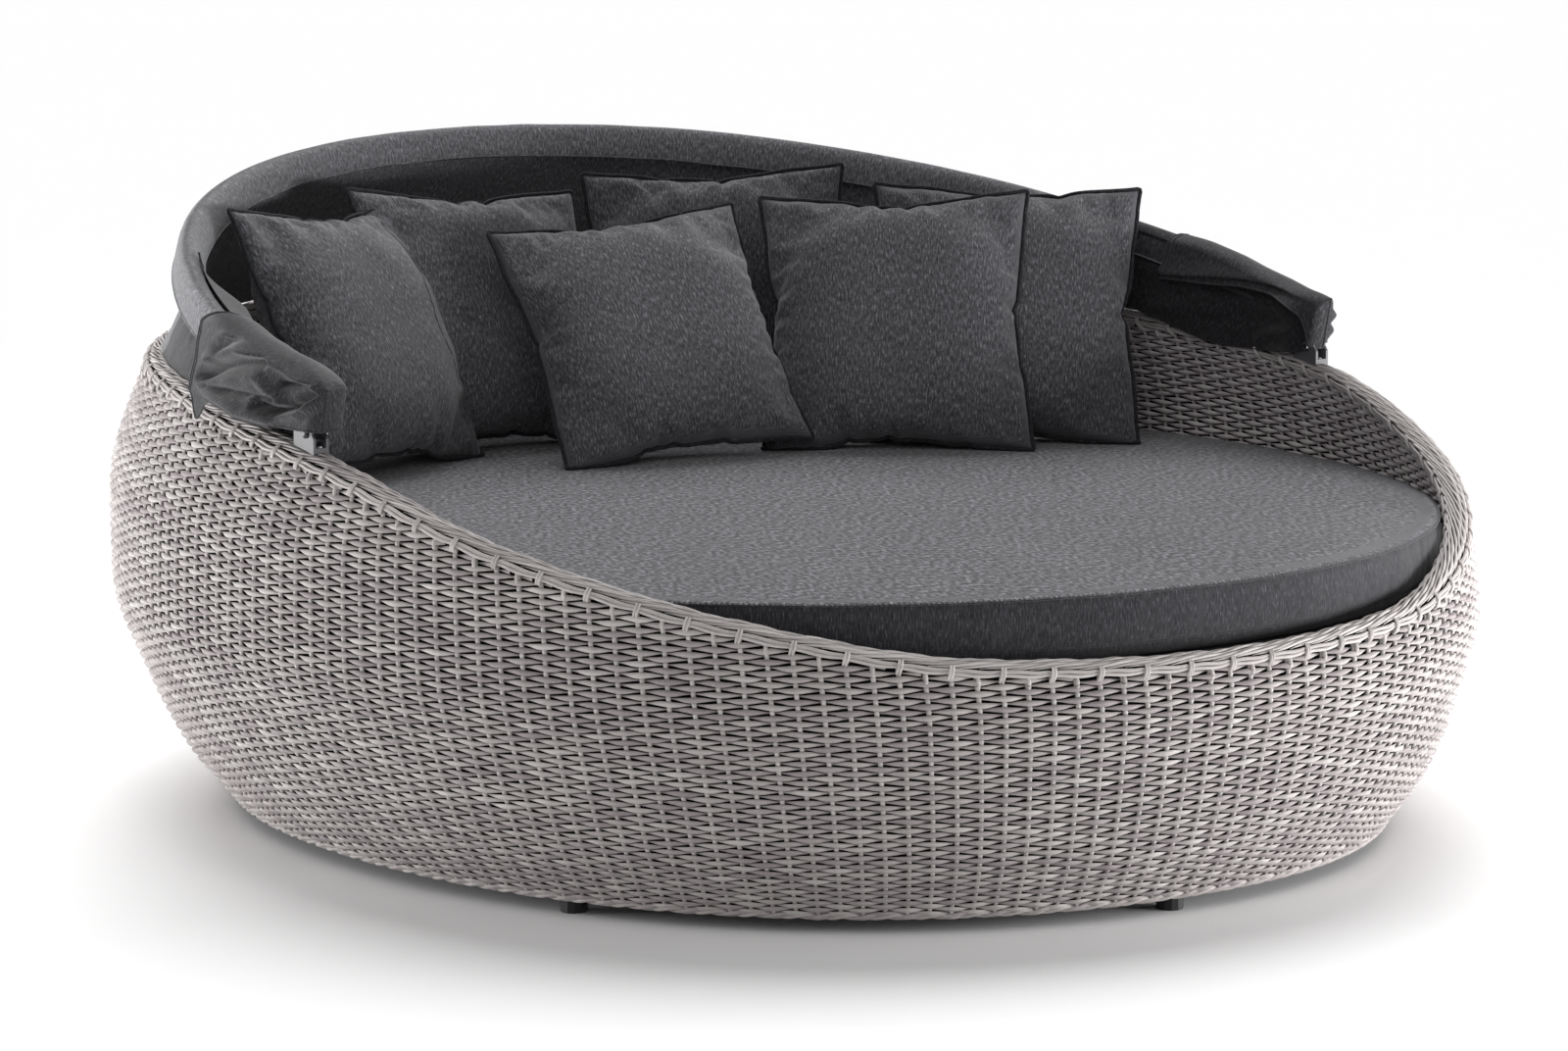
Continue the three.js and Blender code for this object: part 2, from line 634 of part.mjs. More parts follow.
// A round-headed bolt along X: head on the outer end
function bolt(diameter, headWide, headHigh, length, sides) {
  const r = diameter / 2;
  const h = headWide / 2;
  const outlinePoints = [[0, 0], [r, 0], [r, length], [h, length], [h, length + headHigh / 2],
    [h / 2, length + headHigh], [0, length + headHigh]];
  return new THREE.LatheGeometry(outlinePoints.map(([x, y]) => new THREE.Vector2(x, y)), sides);
}

function hexNut() {
  const shape = new THREE.Shape(Array.from({ length: 6 }, (_, i) => (
    new THREE.Vector2(1, 0).rotateAround(new THREE.Vector2(), (i / 3) * Math.PI).multiplyScalar(NUT_WIDE / 2))));
  shape.holes.push(new THREE.Path().absarc(0, 0, BOLT / 2 + CLEAR / 2, 0, 2 * Math.PI, true));
  return new THREE.ExtrudeGeometry(shape, { depth: NUT_HIGH, bevelEnabled: false, curveSegments: 6 });
}

function hinges() {
  const inner = 1.5 * STACK_PITCH - WASHER / 2 + CLEAR / 2;
  const outer = inner + EAR;
  for (const [name, side] of [["left", -1], ["right", 1]]) {
    add(`hinge_bracket_${name}`, bracket(side), "frame");
    const reach = outer + CLEAR;
    const shank = 2 * reach + NUT_HIGH + CLEAR;
    const pin = bolt(BOLT, BOLT_HEAD, BOLT_HEAD_HIGH, shank, 14).rotateZ(-side * Math.PI / 2);
    add(`pivot_bolt_${name}`, pin.translate(side * (HINGE_X + reach - shank), -HINGE_FORWARD, PIVOT_Z), "steel");
    const nut = hexNut().rotateY(Math.PI / 2);
    const nutX = side > 0 ? HINGE_X - reach - NUT_HIGH : -HINGE_X + reach;
    add(`lock_nut_${name}`, nut.translate(nutX, -HINGE_FORWARD, PIVOT_Z), "steel");
    [-0.5, 0.5].forEach((k, i) => {
      const ring = new THREE.Shape().absarc(0, 0, WASHER_WIDE / 2, 0, 2 * Math.PI, false);
      ring.holes.push(new THREE.Path().absarc(0, 0, BOLT / 2 + BOLT_PLAY, 0, 2 * Math.PI, true));
      const washer = sidePlate(ring, WASHER, side * (HINGE_X + k * STACK_PITCH));
      add(`leaf_washer_${name}_${i + 1}`, washer, "plastic");
    });
    const stay = sidePoint(side * HINGE_X, STAY_BACK, 0);
    const stayLong = EAR + 2 * CLEAR + LEAF / 2;
    const screw = bolt(SCREW, SCREW_HEAD, SCREW_HEAD_HIGH, stayLong, 8).rotateZ(side * Math.PI / 2);
    add(`stay_screw_${name}`, screw.translate(stay.x - side * (outer + CLEAR - stayLong), stay.y, stay.z), "steel");
  }
  screwPlaces.forEach(([x, y], i) => {
    const screw = bolt(SCREW, SCREW_HEAD, SCREW_HEAD_HIGH, screwLong, 8).rotateX(Math.PI / 2);
    add(`bracket_screw_${i + 1}`, screw.translate(x, y, PIVOT_Z - SLOT_DROP + CLEAR - screwLong), "steel");
  });
}

// A sheet whose section is given by places [outward, n] on a bow's curve, thickened by CLOTH
function sheetOnBow(curve, places, from, to, steps) {
  const list = Array.from({ length: steps + 1 }, (_, i) => {
    const u = lerp(from, to, i / steps);
    const centre = curve.getPointAt(u);
    const out = outward(curve, u);
    const line = places(u, i);
    const face = (grow) => line.map(([o, n], j) => {
      const before = line[Math.max(j - 1, 0)];
      const after = line[Math.min(j + 1, line.length - 1)];
      const way = new THREE.Vector2(after[0] - before[0], after[1] - before[1]).normalize();
      return centre.clone().addScaledVector(out, o - way.y * grow).addScaledVector(square, n + way.x * grow);
    });
    return [...face(CLOTH / 2), ...face(-CLOTH / 2).reverse()];
  });
  return rings(list, false);
}

// Where the panels and the sleeve start, as a share of a bow's length
const foldShare = 0.112;

// Canopy panels hang in loops inside the folded bows; the sleeve is pulled over the front bow
const loopShares = [[0, 0.1], [0.4, 0.2], [0.9, 0.3], [0.9, 0.58], [0.4, 0.68], [0, 0.78]];

function panel(k) {
  const start = BOW_TUBE / 2 + CLOTH / 2 + CLEAR;
  return sheetOnBow(bowCurve(k), (u) => {
    const deep = LOOP * Math.sin(Math.PI * u) ** 2;
    return loopShares.map(([inside, up]) => [-start - inside * deep, up * BOW_PITCH]);
  }, foldShare, 1 - foldShare, 24);
}

// The sleeve's section: inner hem, over the tube, and down to the outer hem, in shares of the gap round the tube
const sleeveShares = [[-1, -0.17], [-1, 0.55], [-0.5, 1], [0.5, 1]];

function sleeve() {
  const gap = BOW_TUBE / 2 + CLOTH + CLEAR;
  const over = sleeveShares.map(([o, n]) => [gap * o, gap * n]);
  const outer = [[gap + CLOTH, gap / 2], [gap + 2 * CLOTH, -SLEEVE_HANG / 2], [gap + 2 * CLOTH, -SLEEVE_HANG]];
  return sheetOnBow(bowCurve(2), () => [...over, ...outer], foldShare, 1 - foldShare, 28);
}

// The skirt closes the gap between the fixed bow and the rim behind the seat
const skirtShare = 0.12;

function skirt() {
  const curve = bowCurve(0);
  const steps = 48;
  const rows = 3;
  const list = Array.from({ length: steps + 1 }, (_, i) => {
    const u = lerp(skirtShare, 1 - skirtShare, i / steps);
    const top = curve.getPointAt(u).addScaledVector(square, -BOW_TUBE / 2 - CLOTH / 2 - CLEAR);
    const o = outline(RIM_BACK, WALL / 2);
    const turn = Math.atan2(top.x / o.half, -top.y / (top.y > 0 ? o.back : o.front));
    const foot = wallPoint(turn, rimTop(turn), WALL / 2).setZ(rimTop(turn) + CLEAR + CLOTH / 2);
    const out = curve.getTangentAt(u).cross(top.clone().sub(foot)).normalize();
    const face = (grow) => Array.from({ length: rows + 1 }, (_, j) => {
      const p = top.clone().lerp(foot, j / rows);
      const wave = SKIRT_WAVE * Math.sin(Math.PI * j / rows) * Math.cos(Math.PI * i);
      return p.addScaledVector(out, wave + grow);
    });
    return [...face(CLOTH / 2), ...face(-CLOTH / 2).reverse()];
  });
  return rings(list, false);
}

// Width of the roof of the gathered cloth, as a share of the whole
const gatherRoofShare = 0.6;

// Gathered cloth over each hinge: a hood over the bow legs that hangs on both sides of them
function gather(side) {
  const curve = bowCurve(2);
  const whole = curve.getLength();
  const reach = GATHER_LONG / whole;
  const [from, to] = side > 0 ? [0.001, reach] : [1 - reach, 0.999];
  const roof = BOW_TUBE / 2 + CLOTH / 2 + CLEAR;
  return sheetOnBow(curve, (u, i) => {
    const wave = GATHER_WAVE * Math.cos(Math.PI * i);
    const low = -GATHER_HANG - wave;
    const flat = GATHER_WIDE * gatherRoofShare;
    return [[-GATHER_WIDE, low], [-GATHER_WIDE - wave, low / 2], [-GATHER_WIDE + wave / 2, 0], [-flat, roof],
      [flat, roof], [GATHER_WIDE + wave / 2, 0], [GATHER_WIDE - wave, low / 2], [GATHER_WIDE, low]];
  }, from, to, 11);
}

function fabrics() {
  add("canopy_rear_panel", panel(0), "fabric");
  add("canopy_front_panel", panel(1), "fabric");
  add("bow_sleeve", sleeve(), "fabric");
  add("rear_skirt", skirt(), "fabric");
  add("canopy_gather_left", gather(-1), "fabric");
  add("canopy_gather_right", gather(1), "fabric");
}

frame();
deck();
add("mattress", mattress(), "seat");
cushions();
bows();
hinges();
fabrics();

export default daybed;
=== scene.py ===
import math

import bpy
import numpy as np
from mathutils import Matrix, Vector
from mathutils.bvhtree import BVHTree


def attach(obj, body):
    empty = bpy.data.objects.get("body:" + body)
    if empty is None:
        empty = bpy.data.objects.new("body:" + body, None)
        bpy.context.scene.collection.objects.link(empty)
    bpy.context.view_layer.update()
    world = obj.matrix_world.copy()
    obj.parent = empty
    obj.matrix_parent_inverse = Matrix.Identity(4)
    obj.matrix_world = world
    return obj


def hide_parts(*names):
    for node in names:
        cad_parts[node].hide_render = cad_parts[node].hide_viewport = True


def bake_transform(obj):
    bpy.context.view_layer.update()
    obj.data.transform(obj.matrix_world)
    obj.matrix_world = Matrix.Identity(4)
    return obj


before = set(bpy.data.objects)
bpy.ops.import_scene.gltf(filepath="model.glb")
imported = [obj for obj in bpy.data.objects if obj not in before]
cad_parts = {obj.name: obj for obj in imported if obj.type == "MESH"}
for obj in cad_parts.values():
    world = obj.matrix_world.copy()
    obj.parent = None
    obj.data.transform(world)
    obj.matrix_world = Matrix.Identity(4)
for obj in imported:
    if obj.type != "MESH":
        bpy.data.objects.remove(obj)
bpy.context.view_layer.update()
scene = bpy.context.scene

# The camera stands where the photograph was taken from
CAMERA_PLACE = (-4.5379, -6.6550, 1.6632)
CAMERA_DOWN, CAMERA_TURN = 0.1535, -0.5968
LENS, SENSOR = 123.63, 36
PHOTO_SIZE = (1600, 1072)
camera_data = bpy.data.cameras.new("camera")
camera_data.sensor_width = SENSOR
camera_data.lens = LENS
camera_data.clip_end = 200
camera = bpy.data.objects.new("camera", camera_data)
scene.collection.objects.link(camera)
camera.location = CAMERA_PLACE
camera.rotation_euler = (math.pi / 2 - CAMERA_DOWN, 0, CAMERA_TURN)
scene.camera = camera
scene.view_settings.view_transform = "Standard"

# Sizes that part.mjs also has, in metres
SHELL_HALF = 0.977
RIM_FRONT, RIM_BACK = 0.379, 0.700
DEPTH_SHARE, LEAN_SHARE, LEAN_LEVEL = 1.11, 0.22, 0.314 * 0.7
PLAN_POWER = 2.1
WALL = 0.031
DECK_TOP = 0.369
SEAT = 0.4733
MATTRESS = dict(half=0.930, front=0.992, back=1.050)
HINGE_FORWARD = 0.138
PIVOT_Z = 0.6441
HINGE_X = 0.9019
FOLD_TILT = math.radians(12.7)
BOW_HEIGHTS = (0.026, 0.044, 0.062)
LEAF_X = (HINGE_X - 0.0059, HINGE_X, HINGE_X + 0.0059)
BOW_BULGE, BOW_DEPTH, BOW_POWER = 0.014, 1.107, 2.13


def linked(name, data):
    """A new object in the scene."""
    obj = bpy.data.objects.new(name, data)
    scene.collection.objects.link(obj)
    return obj


def through(table):
    """A smooth curve through the places of a table, as the part's own has it."""
    xs, ys = np.array(table, float).T
    slopes = np.diff(ys) / np.diff(xs)
    tangents = np.zeros(len(xs))
    for i in range(1, len(xs) - 1):
        a, b = slopes[i - 1], slopes[i]
        tangents[i] = 2 * a * b / (a + b) if a * b > 0 else 0
    tangents[-1] = slopes[-1]

    def value(x):
        x = np.clip(x, xs[0], xs[-1])
        i = np.clip(np.searchsorted(xs, x, "right") - 1, 0, len(xs) - 2)
        h = xs[i + 1] - xs[i]
        s = (x - xs[i]) / h
        return ((2 * s**3 - 3 * s**2 + 1) * ys[i] + (s**3 - 2 * s**2 + s) * h * tangents[i]
                + (3 * s**2 - 2 * s**3) * ys[i + 1] + (s**3 - s**2) * h * tangents[i + 1])
    return value


RIM_WIDTH_SHARE = 0.911
profile_share = through([[0, 0.83], [0.0286, 0.844], [0.157, 0.914], [0.314, 0.964],
                         [0.486, 1], [0.686, 0.994], [1, RIM_WIDTH_SHARE]])
rim_share = through([[0, 0], [0.111, 0.034], [0.222, 0.203], [0.333, 0.455],
                     [0.444, 0.73], [0.611, 0.9], [1, 1]])


def rim_top(turn):
    """Height of the rim; turn 0 is the front."""
    share = np.abs(np.mod(np.asarray(turn) / math.pi + 1, 2) - 1)
    return RIM_FRONT + (RIM_BACK - RIM_FRONT) * rim_share(share)


def power(value, share):
    """A power that keeps the sign."""
    return np.sign(value) * np.abs(value) ** share


def plan(turn, half, front, back):
    """Places on the rounded plan; turn 0 is the front."""
    c = np.cos(turn)
    depth = np.where(c > 0, front, back)
    return half * power(np.sin(turn), 2 / PLAN_POWER), -depth * power(c, 2 / PLAN_POWER)


def wall(turn, z, inset):
    """Places on the wall, inset metres inside its outer face."""
    half = SHELL_HALF * profile_share(z / RIM_BACK)
    lean = LEAN_SHARE * (z - LEAN_LEVEL)
    x, y = plan(turn, half - inset, half * DEPTH_SHARE - lean - inset, half * DEPTH_SHARE + lean - inset)
    return stacked(x, y, z)


def stacked(*parts):
    """The parts side by side in a new last axis."""
    return np.stack(np.broadcast_arrays(*parts), -1)


def unit(ways):
    return ways / np.linalg.norm(ways, axis=-1, keepdims=True)


def run_along(path):
    """How far along a path each of its points lies."""
    return np.concatenate([[0], np.cumsum(np.linalg.norm(np.diff(path, axis=0), axis=-1))])


def smooth(low, high, x):
    """Rises from 0 at low to 1 at high."""
    s = np.clip((x - low) / (high - low), 0, 1)
    return s * s * (3 - 2 * s)


def hashed(*keys):
    """A repeatable number from 0 to 1 for whole-number keys."""
    value = np.zeros(np.broadcast(*keys).shape)
    for k, key in enumerate(keys):
        value = value + np.asarray(key, float) * (12.9898, 78.233, 37.719)[k]
    return np.mod(np.sin(value) * 43758.5453, 1)


def ripple(points, size, seed):
    """Smooth value noise from -1 to 1 over points."""
    p = np.asarray(points, float) / size + seed * 17.3
    cell = np.floor(p)
    f = p - cell
    f = f * f * (3 - 2 * f)
    total = 0
    for corner in range(8):
        step = np.array([corner & 1, corner >> 1 & 1, corner >> 2 & 1])
        weight = np.prod(np.where(step, f, 1 - f), -1)
        c = cell + step
        total = total + weight * hashed(c[..., 0], c[..., 1], c[..., 2])
    return 2 * total - 1


def mesh_object(name, points, faces, attributes=None, uvs=None, flat=False):
    """A mesh from an array of points and an array of quads (or a list of faces)."""
    mesh = bpy.data.meshes.new(name)
    points = np.asarray(points, np.float32).reshape(-1, 3)
    faces = np.asarray(faces, np.int32)
    used = np.unique(faces)
    if len(used) < len(points):
        lookup = np.full(len(points), -1, np.int32)
        lookup[used] = np.arange(len(used))
        faces = lookup[faces]
    else:
        used = slice(None)
    points = points[used]
    mesh.vertices.add(len(points))
    mesh.vertices.foreach_set("co", points.ravel())
    corners = faces.shape[1]
    mesh.loops.add(faces.size)
    mesh.loops.foreach_set("vertex_index", faces.ravel())
    mesh.polygons.add(len(faces))
    mesh.polygons.foreach_set("loop_start", np.arange(0, faces.size, corners, dtype=np.int32))
    mesh.update(calc_edges=True)
    mesh.validate()
    for key, values in (attributes or {}).items():
        values = np.asarray(values, np.float32)
        kind = "FLOAT" if values.ndim == 1 else "FLOAT_VECTOR"
        layer = mesh.attributes.new(key, kind, "POINT")
        layer.data.foreach_set("value" if kind == "FLOAT" else "vector", values[used].ravel())
    if uvs is not None:
        layer = mesh.uv_layers.new(name="UVMap")
        layer.data.foreach_set("uv", np.asarray(uvs, np.float32)[used][faces.ravel()].ravel())
    if not flat:
        mesh.polygons.foreach_set("use_smooth", np.ones(len(faces), bool))
    return linked(name, mesh)


def grid_faces(rows, columns, close_rows=False, close_columns=False, flip=False):
    """Quads of a grid whose points lie row by row."""
    i = np.arange(rows if close_rows else rows - 1)
    j = np.arange(columns if close_columns else columns - 1)
    i, j = (a.ravel() for a in np.meshgrid(i, j, indexing="ij"))
    i2, j2 = (i + 1) % rows, (j + 1) % columns
    quads = stacked(i * columns + j, i * columns + j2, i2 * columns + j2, i2 * columns + j)
    return quads[:, ::-1] if flip else quads


def tube(path, radius, sides, closed=False, up=(0, 0, 1.0)):
    """Points and quads of a round tube along a path."""
    path = np.asarray(path, float)
    ahead = unit(np.roll(path, -1, 0) - np.roll(path, 1, 0) if closed else np.gradient(path, axis=0))
    side = np.cross(ahead, up)
    side /= np.maximum(np.linalg.norm(side, axis=1, keepdims=True), 1e-9)
    top = np.cross(side, ahead)
    a = np.arange(sides) / sides * 2 * math.pi
    r = np.broadcast_to(np.asarray(radius, float), (len(path),))[:, None, None]
    points = path[:, None] + r * (np.cos(a)[None, :, None] * side[:, None]
                                  + np.sin(a)[None, :, None] * top[:, None])
    return points.reshape(-1, 3), grid_faces(len(path), sides, close_rows=closed, close_columns=True)


def tube_uv(count, sides, across, along):
    """Flat places for a tube of count rings, across and along metres apart."""
    return stacked(np.tile(np.arange(sides) * across, count), np.repeat(np.arange(count) * along, sides))


# Materials


def linear(colour):
    """A colour given in 0 to 255 as it shows on screen, in linear light."""
    c = np.array(colour, float) / 255
    c = np.where(c <= 0.04045, c / 12.92, ((c + 0.055) / 1.055) ** 2.4)
    return (*c, 1)


def grey(value):
    return (value, value, value, 1)


class Look:
    """A material while its nodes are laid."""

    def __init__(self, name, rough, specular, metal=0.0, sheen=0.0):
        self.material = bpy.data.materials.new(name)
        self.material.use_nodes = True
        self.tree = self.material.node_tree
        self.shader = self.tree.nodes["Principled BSDF"]
        self.feed(self.shader, {"Roughness": rough, "Specular IOR Level": specular, "Metallic": metal,
                                "Sheen Weight": sheen, "Sheen Roughness": 0.5})

    def feed(self, node, inputs):
        """Links the inputs that are another node's output and sets the others."""
        for place, value in inputs.items():
            if isinstance(value, bpy.types.NodeSocket):
                self.tree.links.new(value, node.inputs[place])
            else:
                node.inputs[place].default_value = value

    def node(self, kind, inputs=None, **settings):
        node = self.tree.nodes.new("ShaderNode" + kind)
        for key, value in settings.items():
            setattr(node, key, value)
        self.feed(node, inputs or {})
        return node

    def mapped(self, source, across, along):
        return self.node("Mapping", {"Vector": source, "Scale": (across, along, 1)}).outputs[0]

    def noise(self, source, scale, detail=2.0, rough=0.5):
        inputs = {"Vector": source, "Scale": scale, "Detail": detail, "Roughness": rough}
        return self.node("TexNoise", inputs).outputs["Fac"]

    def threads(self, source, across, along, detail, rough):
        """Noise drawn out along one way."""
        return self.noise(self.mapped(source, across, along), 1.0, detail, rough)

    def ramp(self, source, *stops):
        """Colours by a grey value."""
        node = self.node("ValToRGB", {0: source})
        while len(node.color_ramp.elements) < len(stops):
            node.color_ramp.elements.new(0.5)
        for element, (place, colour) in zip(node.color_ramp.elements, stops):
            element.position = place
            element.color = colour
        return node.outputs[0]

    def mix(self, kind, share, a, b):
        return self.node("Mix", {0: share, 6: a, 7: b}, data_type="RGBA", blend_type=kind).outputs[2]

    def shaded(self, colour, source, *stops, share=1.0):
        """A colour times greys that follow a value."""
        tones = self.ramp(source, *((place, grey(value)) for place, value in stops))
        return self.mix("MULTIPLY", share, colour, tones)

    def done(self, colour, height, strength, distance):
        """Gives the shader its colour and its relief."""
        relief = self.node("Bump", {"Strength": strength, "Distance": distance, "Height": height})
        self.feed(self.shader, {"Base Color": colour, "Normal": relief.outputs[0]})
        return self.material


def wicker_material(name, dark, light, pink, pale, rough=0.58, specular=0.25):
    """Resin strand: each strand has its own tone, with fine grain along it. Colours are as on screen."""
    look = Look(name, rough, specular)
    tone = look.node("Attribute", attribute_name="tone").outputs["Fac"]
    fibre = look.node("Attribute", attribute_name="fibre").outputs["Vector"]
    base = look.ramp(tone, *zip((0, 0.3, 0.65, 1), map(linear, (dark, pink, light, pale))))
    grain = look.threads(fibre, 60, 1500, 3.0, 0.6)
    fleck = look.threads(fibre, 260, 2400, 1.0, 0.5)
    colour = look.shaded(base, grain, (0.3, 0.80), (0.7, 1.08))
    pale_share = look.ramp(fleck, (0.56, grey(0.0)), (0.72, grey(0.4)))
    return look.done(look.mix("MIX", pale_share, colour, linear((226, 221, 219))), grain, 0.35, 0.0004)


def fabric_material(name, dark, light, streak, sheen=0.25, grain=(320, 120), spread=0.45):
    """Heather weave: dark and light threads that run mostly along one way. Colours are as on screen."""
    look = Look(name, 0.92, 0.12, sheen=sheen)
    uv = look.node("UVMap", uv_map="UVMap").outputs[0]
    long = look.threads(uv, 420, 80, 3.0, 0.7)
    colour = look.ramp(long, (0.32, linear(dark)), (0.55, linear(light)), (0.72, linear(streak)))
    colour = look.shaded(colour, look.threads(uv, 60, 700, 2.0, 0.6), (0.3, 0.82), (0.7, 1.12))
    colour = look.shaded(colour, look.threads(uv, *grain, 1.0, 0.5),
                         (0.36, 1 - 0.5 * spread), (0.5, 1.0), (0.64, 1 + spread))
    colour = look.shaded(colour, look.threads(uv, 9, 9, 3.0, 0.6), (0.3, 0.9), (0.7, 1.08), share=0.7)
    wave = look.node("TexWave", {"Vector": look.mapped(uv, 180, 12), "Scale": 1.0, "Distortion": 1.5})
    return look.done(colour, look.mix("MIX", 0.5, long, wave.outputs["Color"]), 0.3, 0.0006)


def coat_material(name, colour, rough, metal=0.0, size=900):
    """Powder coat, moulded plastic or steel with a fine surface."""
    look = Look(name, rough, 0.4, metal)
    place = look.node("TexCoord").outputs["Object"]
    fine = look.noise(place, size)
    toned = look.shaded(linear(colour), fine, (0.3, 0.86), (0.7, 1.1))
    worn = look.shaded(toned, look.noise(place, 14, 3.0), (0.35, 0.9), (0.7, 1.06))
    return look.done(worn, fine, 0.25, 0.0003)


wicker = wicker_material("wicker_strand", (134, 126, 126), (178, 172, 170), (157, 148, 150), (208, 203, 201))
# The liner's strands are a lighter copy of the wicker strand: painted light for the shell's dim inside.
liner_strand_painted_light = wicker_material("liner_strand_painted_light", (182, 173, 174), (222, 214, 214), (203, 193, 195),
                               (240, 235, 234), 0.36, 0.6)
# Near-black paint for the gaps between the strands: painted shade, not a colour of the wicker.
gap_look = Look("wicker_gap_painted_shade", 0.95, 0.05)
gap_noise = gap_look.noise(gap_look.node("TexCoord").outputs["Object"], 220)
gap_shade_tone = gap_look.ramp(gap_noise, (0.3, linear((14, 12, 13))), (0.7, linear((26, 23, 24))))
gap_look.feed(gap_look.shader, {"Base Color": gap_shade_tone})
gap_painted_shade = gap_look.material
cushion_fabric = fabric_material("cushion_heather", (54, 54, 57), (88, 88, 92), (138, 138, 142))
mattress_fabric = fabric_material("mattress_heather", (76, 76, 80), (101, 101, 105), (136, 136, 140),
                                  grain=(150, 90), spread=1.0)
# A darker copy of the mattress fabric for its sides: painted shade on the vertical faces.
mattress_shaded_side_fabric = fabric_material("mattress_side_painted_shade_heather", (36, 36, 39), (52, 52, 56), (84, 84, 88),
                                       grain=(520, 70), spread=0.5)
thread = fabric_material("stitch_thread", (96, 96, 100), (124, 124, 128), (150, 150, 154), sheen=0.1)
canopy_fabric = fabric_material("canopy_heather", (76, 76, 79), (113, 113, 117), (150, 150, 154))
# A slightly lighter copy of the canopy cloth for the skirt: painted light for its shaded inside.
skirt_lit_fabric = fabric_material("canopy_skirt_painted_light_heather", (80, 80, 83), (116, 116, 120), (150, 150, 154))
# A darker copy of the canopy cloth for the hoods, part of the sleeve, the skirt's ends and the left flap: painted
# shade.
hood_shaded_fabric = fabric_material("canopy_hood_painted_shade_heather", (36, 36, 39), (57, 57, 60), (92, 92, 96))
# A still darker copy of the canopy cloth for the flaps under the hoods: painted shade.
flap_shaded_fabric = fabric_material("canopy_flap_painted_shade_heather", (28, 28, 30), (42, 42, 45), (66, 66, 69), sheen=0.1)
piping_fabric = fabric_material("piping_heather", (30, 30, 33), (44, 44, 48), (62, 62, 66), sheen=0.1)
powder = coat_material("powder_coat", (92, 92, 95), 0.5)
bow_coat = coat_material("bow_powder_coat", (58, 58, 61), 0.45)
steel = coat_material("bright_steel", (150, 150, 152), 0.3, metal=0.9, size=400)
dark_steel = coat_material("dark_bolt", (48, 48, 50), 0.4, metal=0.6, size=400)
plastic = coat_material("black_plastic", (34, 34, 36), 0.55)
board = coat_material("deck_board", (74, 72, 70), 0.7, size=300)


def dress(obj, what):
    """Gives an object one material."""
    obj.data.materials.clear()
    obj.data.materials.append(what)
    return obj


# The wicker

STAKES = 188
ROW = 0.0074
PER_STAKE = 6
STAKES_SPACED_AT = 0.34
WEAVE_DEEP = 0.006
fine_turns = np.linspace(0, 2 * math.pi, 4001)
arc = run_along(wall(fine_turns, np.full(len(fine_turns), STAKES_SPACED_AT), 0))


def stake_turn(q):
    """The turn at a place counted in stakes from the front."""
    q = np.asarray(q, float)
    return np.interp(np.mod(q, STAKES) / STAKES * arc[-1], arc, fine_turns)


def row_heights(low):
    """Heights of the rows, one pitch apart along the wall's own curve."""
    z = np.linspace(low, RIM_BACK, 2000)
    half = SHELL_HALF * profile_share(z / RIM_BACK)
    run = np.concatenate([[0], np.cumsum(np.hypot(np.diff(z), np.diff(half)))])
    return np.interp(np.arange(0, run[-1], ROW), run, z)


# A strand's section: shares of its height, and how far it domes out there
ACROSS = np.array([-0.5, -0.38, -0.2, 0, 0.2, 0.38, 0.5])
DOME = 0.0034 * np.array([0, 0.56, 0.90, 1, 0.90, 0.56, 0])
STRAND_TALL = 0.0082


def weave(name, low, inset, face, sectors, under, what):
    """Horizontal strands over and under the stakes. face is -1 for the outside and 1 for the inside;
    they stop at the depth under below the rim, and are made in sectors so that no mesh gets too large."""
    heights = row_heights(low)
    rows = len(heights)
    columns = STAKES * PER_STAKE
    q = np.arange(columns) / PER_STAKE
    r = np.arange(rows)[:, None]
    phase = q[None] + r
    w = (1 + np.cos(math.pi * phase)) / 2
    lens = np.floor((phase + 1) / 2)
    own = hashed(r, lens, 3)
    tilt = (hashed(r, lens, 5) - 0.5) * 0.0022 * w * np.sin(math.pi * (phase + 1 - 2 * lens))
    lift = (hashed(r, lens, 7) - 0.5) * 0.0009 * w
    high = STRAND_TALL * (0.22 + 0.78 * w**0.88) * (0.94 + 0.12 * hashed(r, lens, 11))
    depth = 0.0064 - 0.0066 * w - (hashed(r, lens, 13) - 0.5) * 0.0008 * w
    turn = stake_turn(q)[None, :, None]
    rim = rim_top(stake_turn(q))[None, :, None]
    place = heights[:, None, None] + tilt[..., None] + lift[..., None] + ACROSS * high[..., None]
    raised = depth[..., None] - DOME * (0.4 + 0.6 * w[..., None])
    skin = inset + raised if face < 0 else inset + WEAVE_DEEP - raised
    points = wall(np.broadcast_to(turn, place.shape), place, skin)
    kept = heights[:, None] < rim[..., 0] - under
    tone = np.clip(0.56 + 0.50 * (own - 0.5) + 0.26 * (hashed(r, np.floor(q / 23)[None], 17) - 0.5), 0, 1)
    tone = np.broadcast_to(tone[..., None], place.shape)
    along = (q * arc[-1] / STAKES)[None, :, None] + r[..., None] * 3.7
    fibre = stacked(along, ACROSS * 0.009, r[..., None])
    index = np.arange(place.size).reshape(place.shape)
    after = np.roll(index, -1, 1)
    fine = kept & np.roll(kept, -1, 1)
    quads = stacked(index[..., :-1], after[..., :-1], after[..., 1:], index[..., 1:])
    if face > 0:
        quads = quads[..., ::-1]
    made = []
    for s in range(sectors):
        part = slice(columns * s // sectors, columns * (s + 1) // sectors)
        chosen = quads[:, part][fine[:, part]].reshape(-1, 4)
        piece = mesh_object(f"{name}_strands_{s + 1}", points, chosen,
                            {"tone": tone.ravel(), "fibre": fibre.reshape(-1, 3)})
        made.append(dress(piece, what))
    made.append(stakes(name, heights, inset, face, under))
    return made


STAKE_THICK = 0.0034


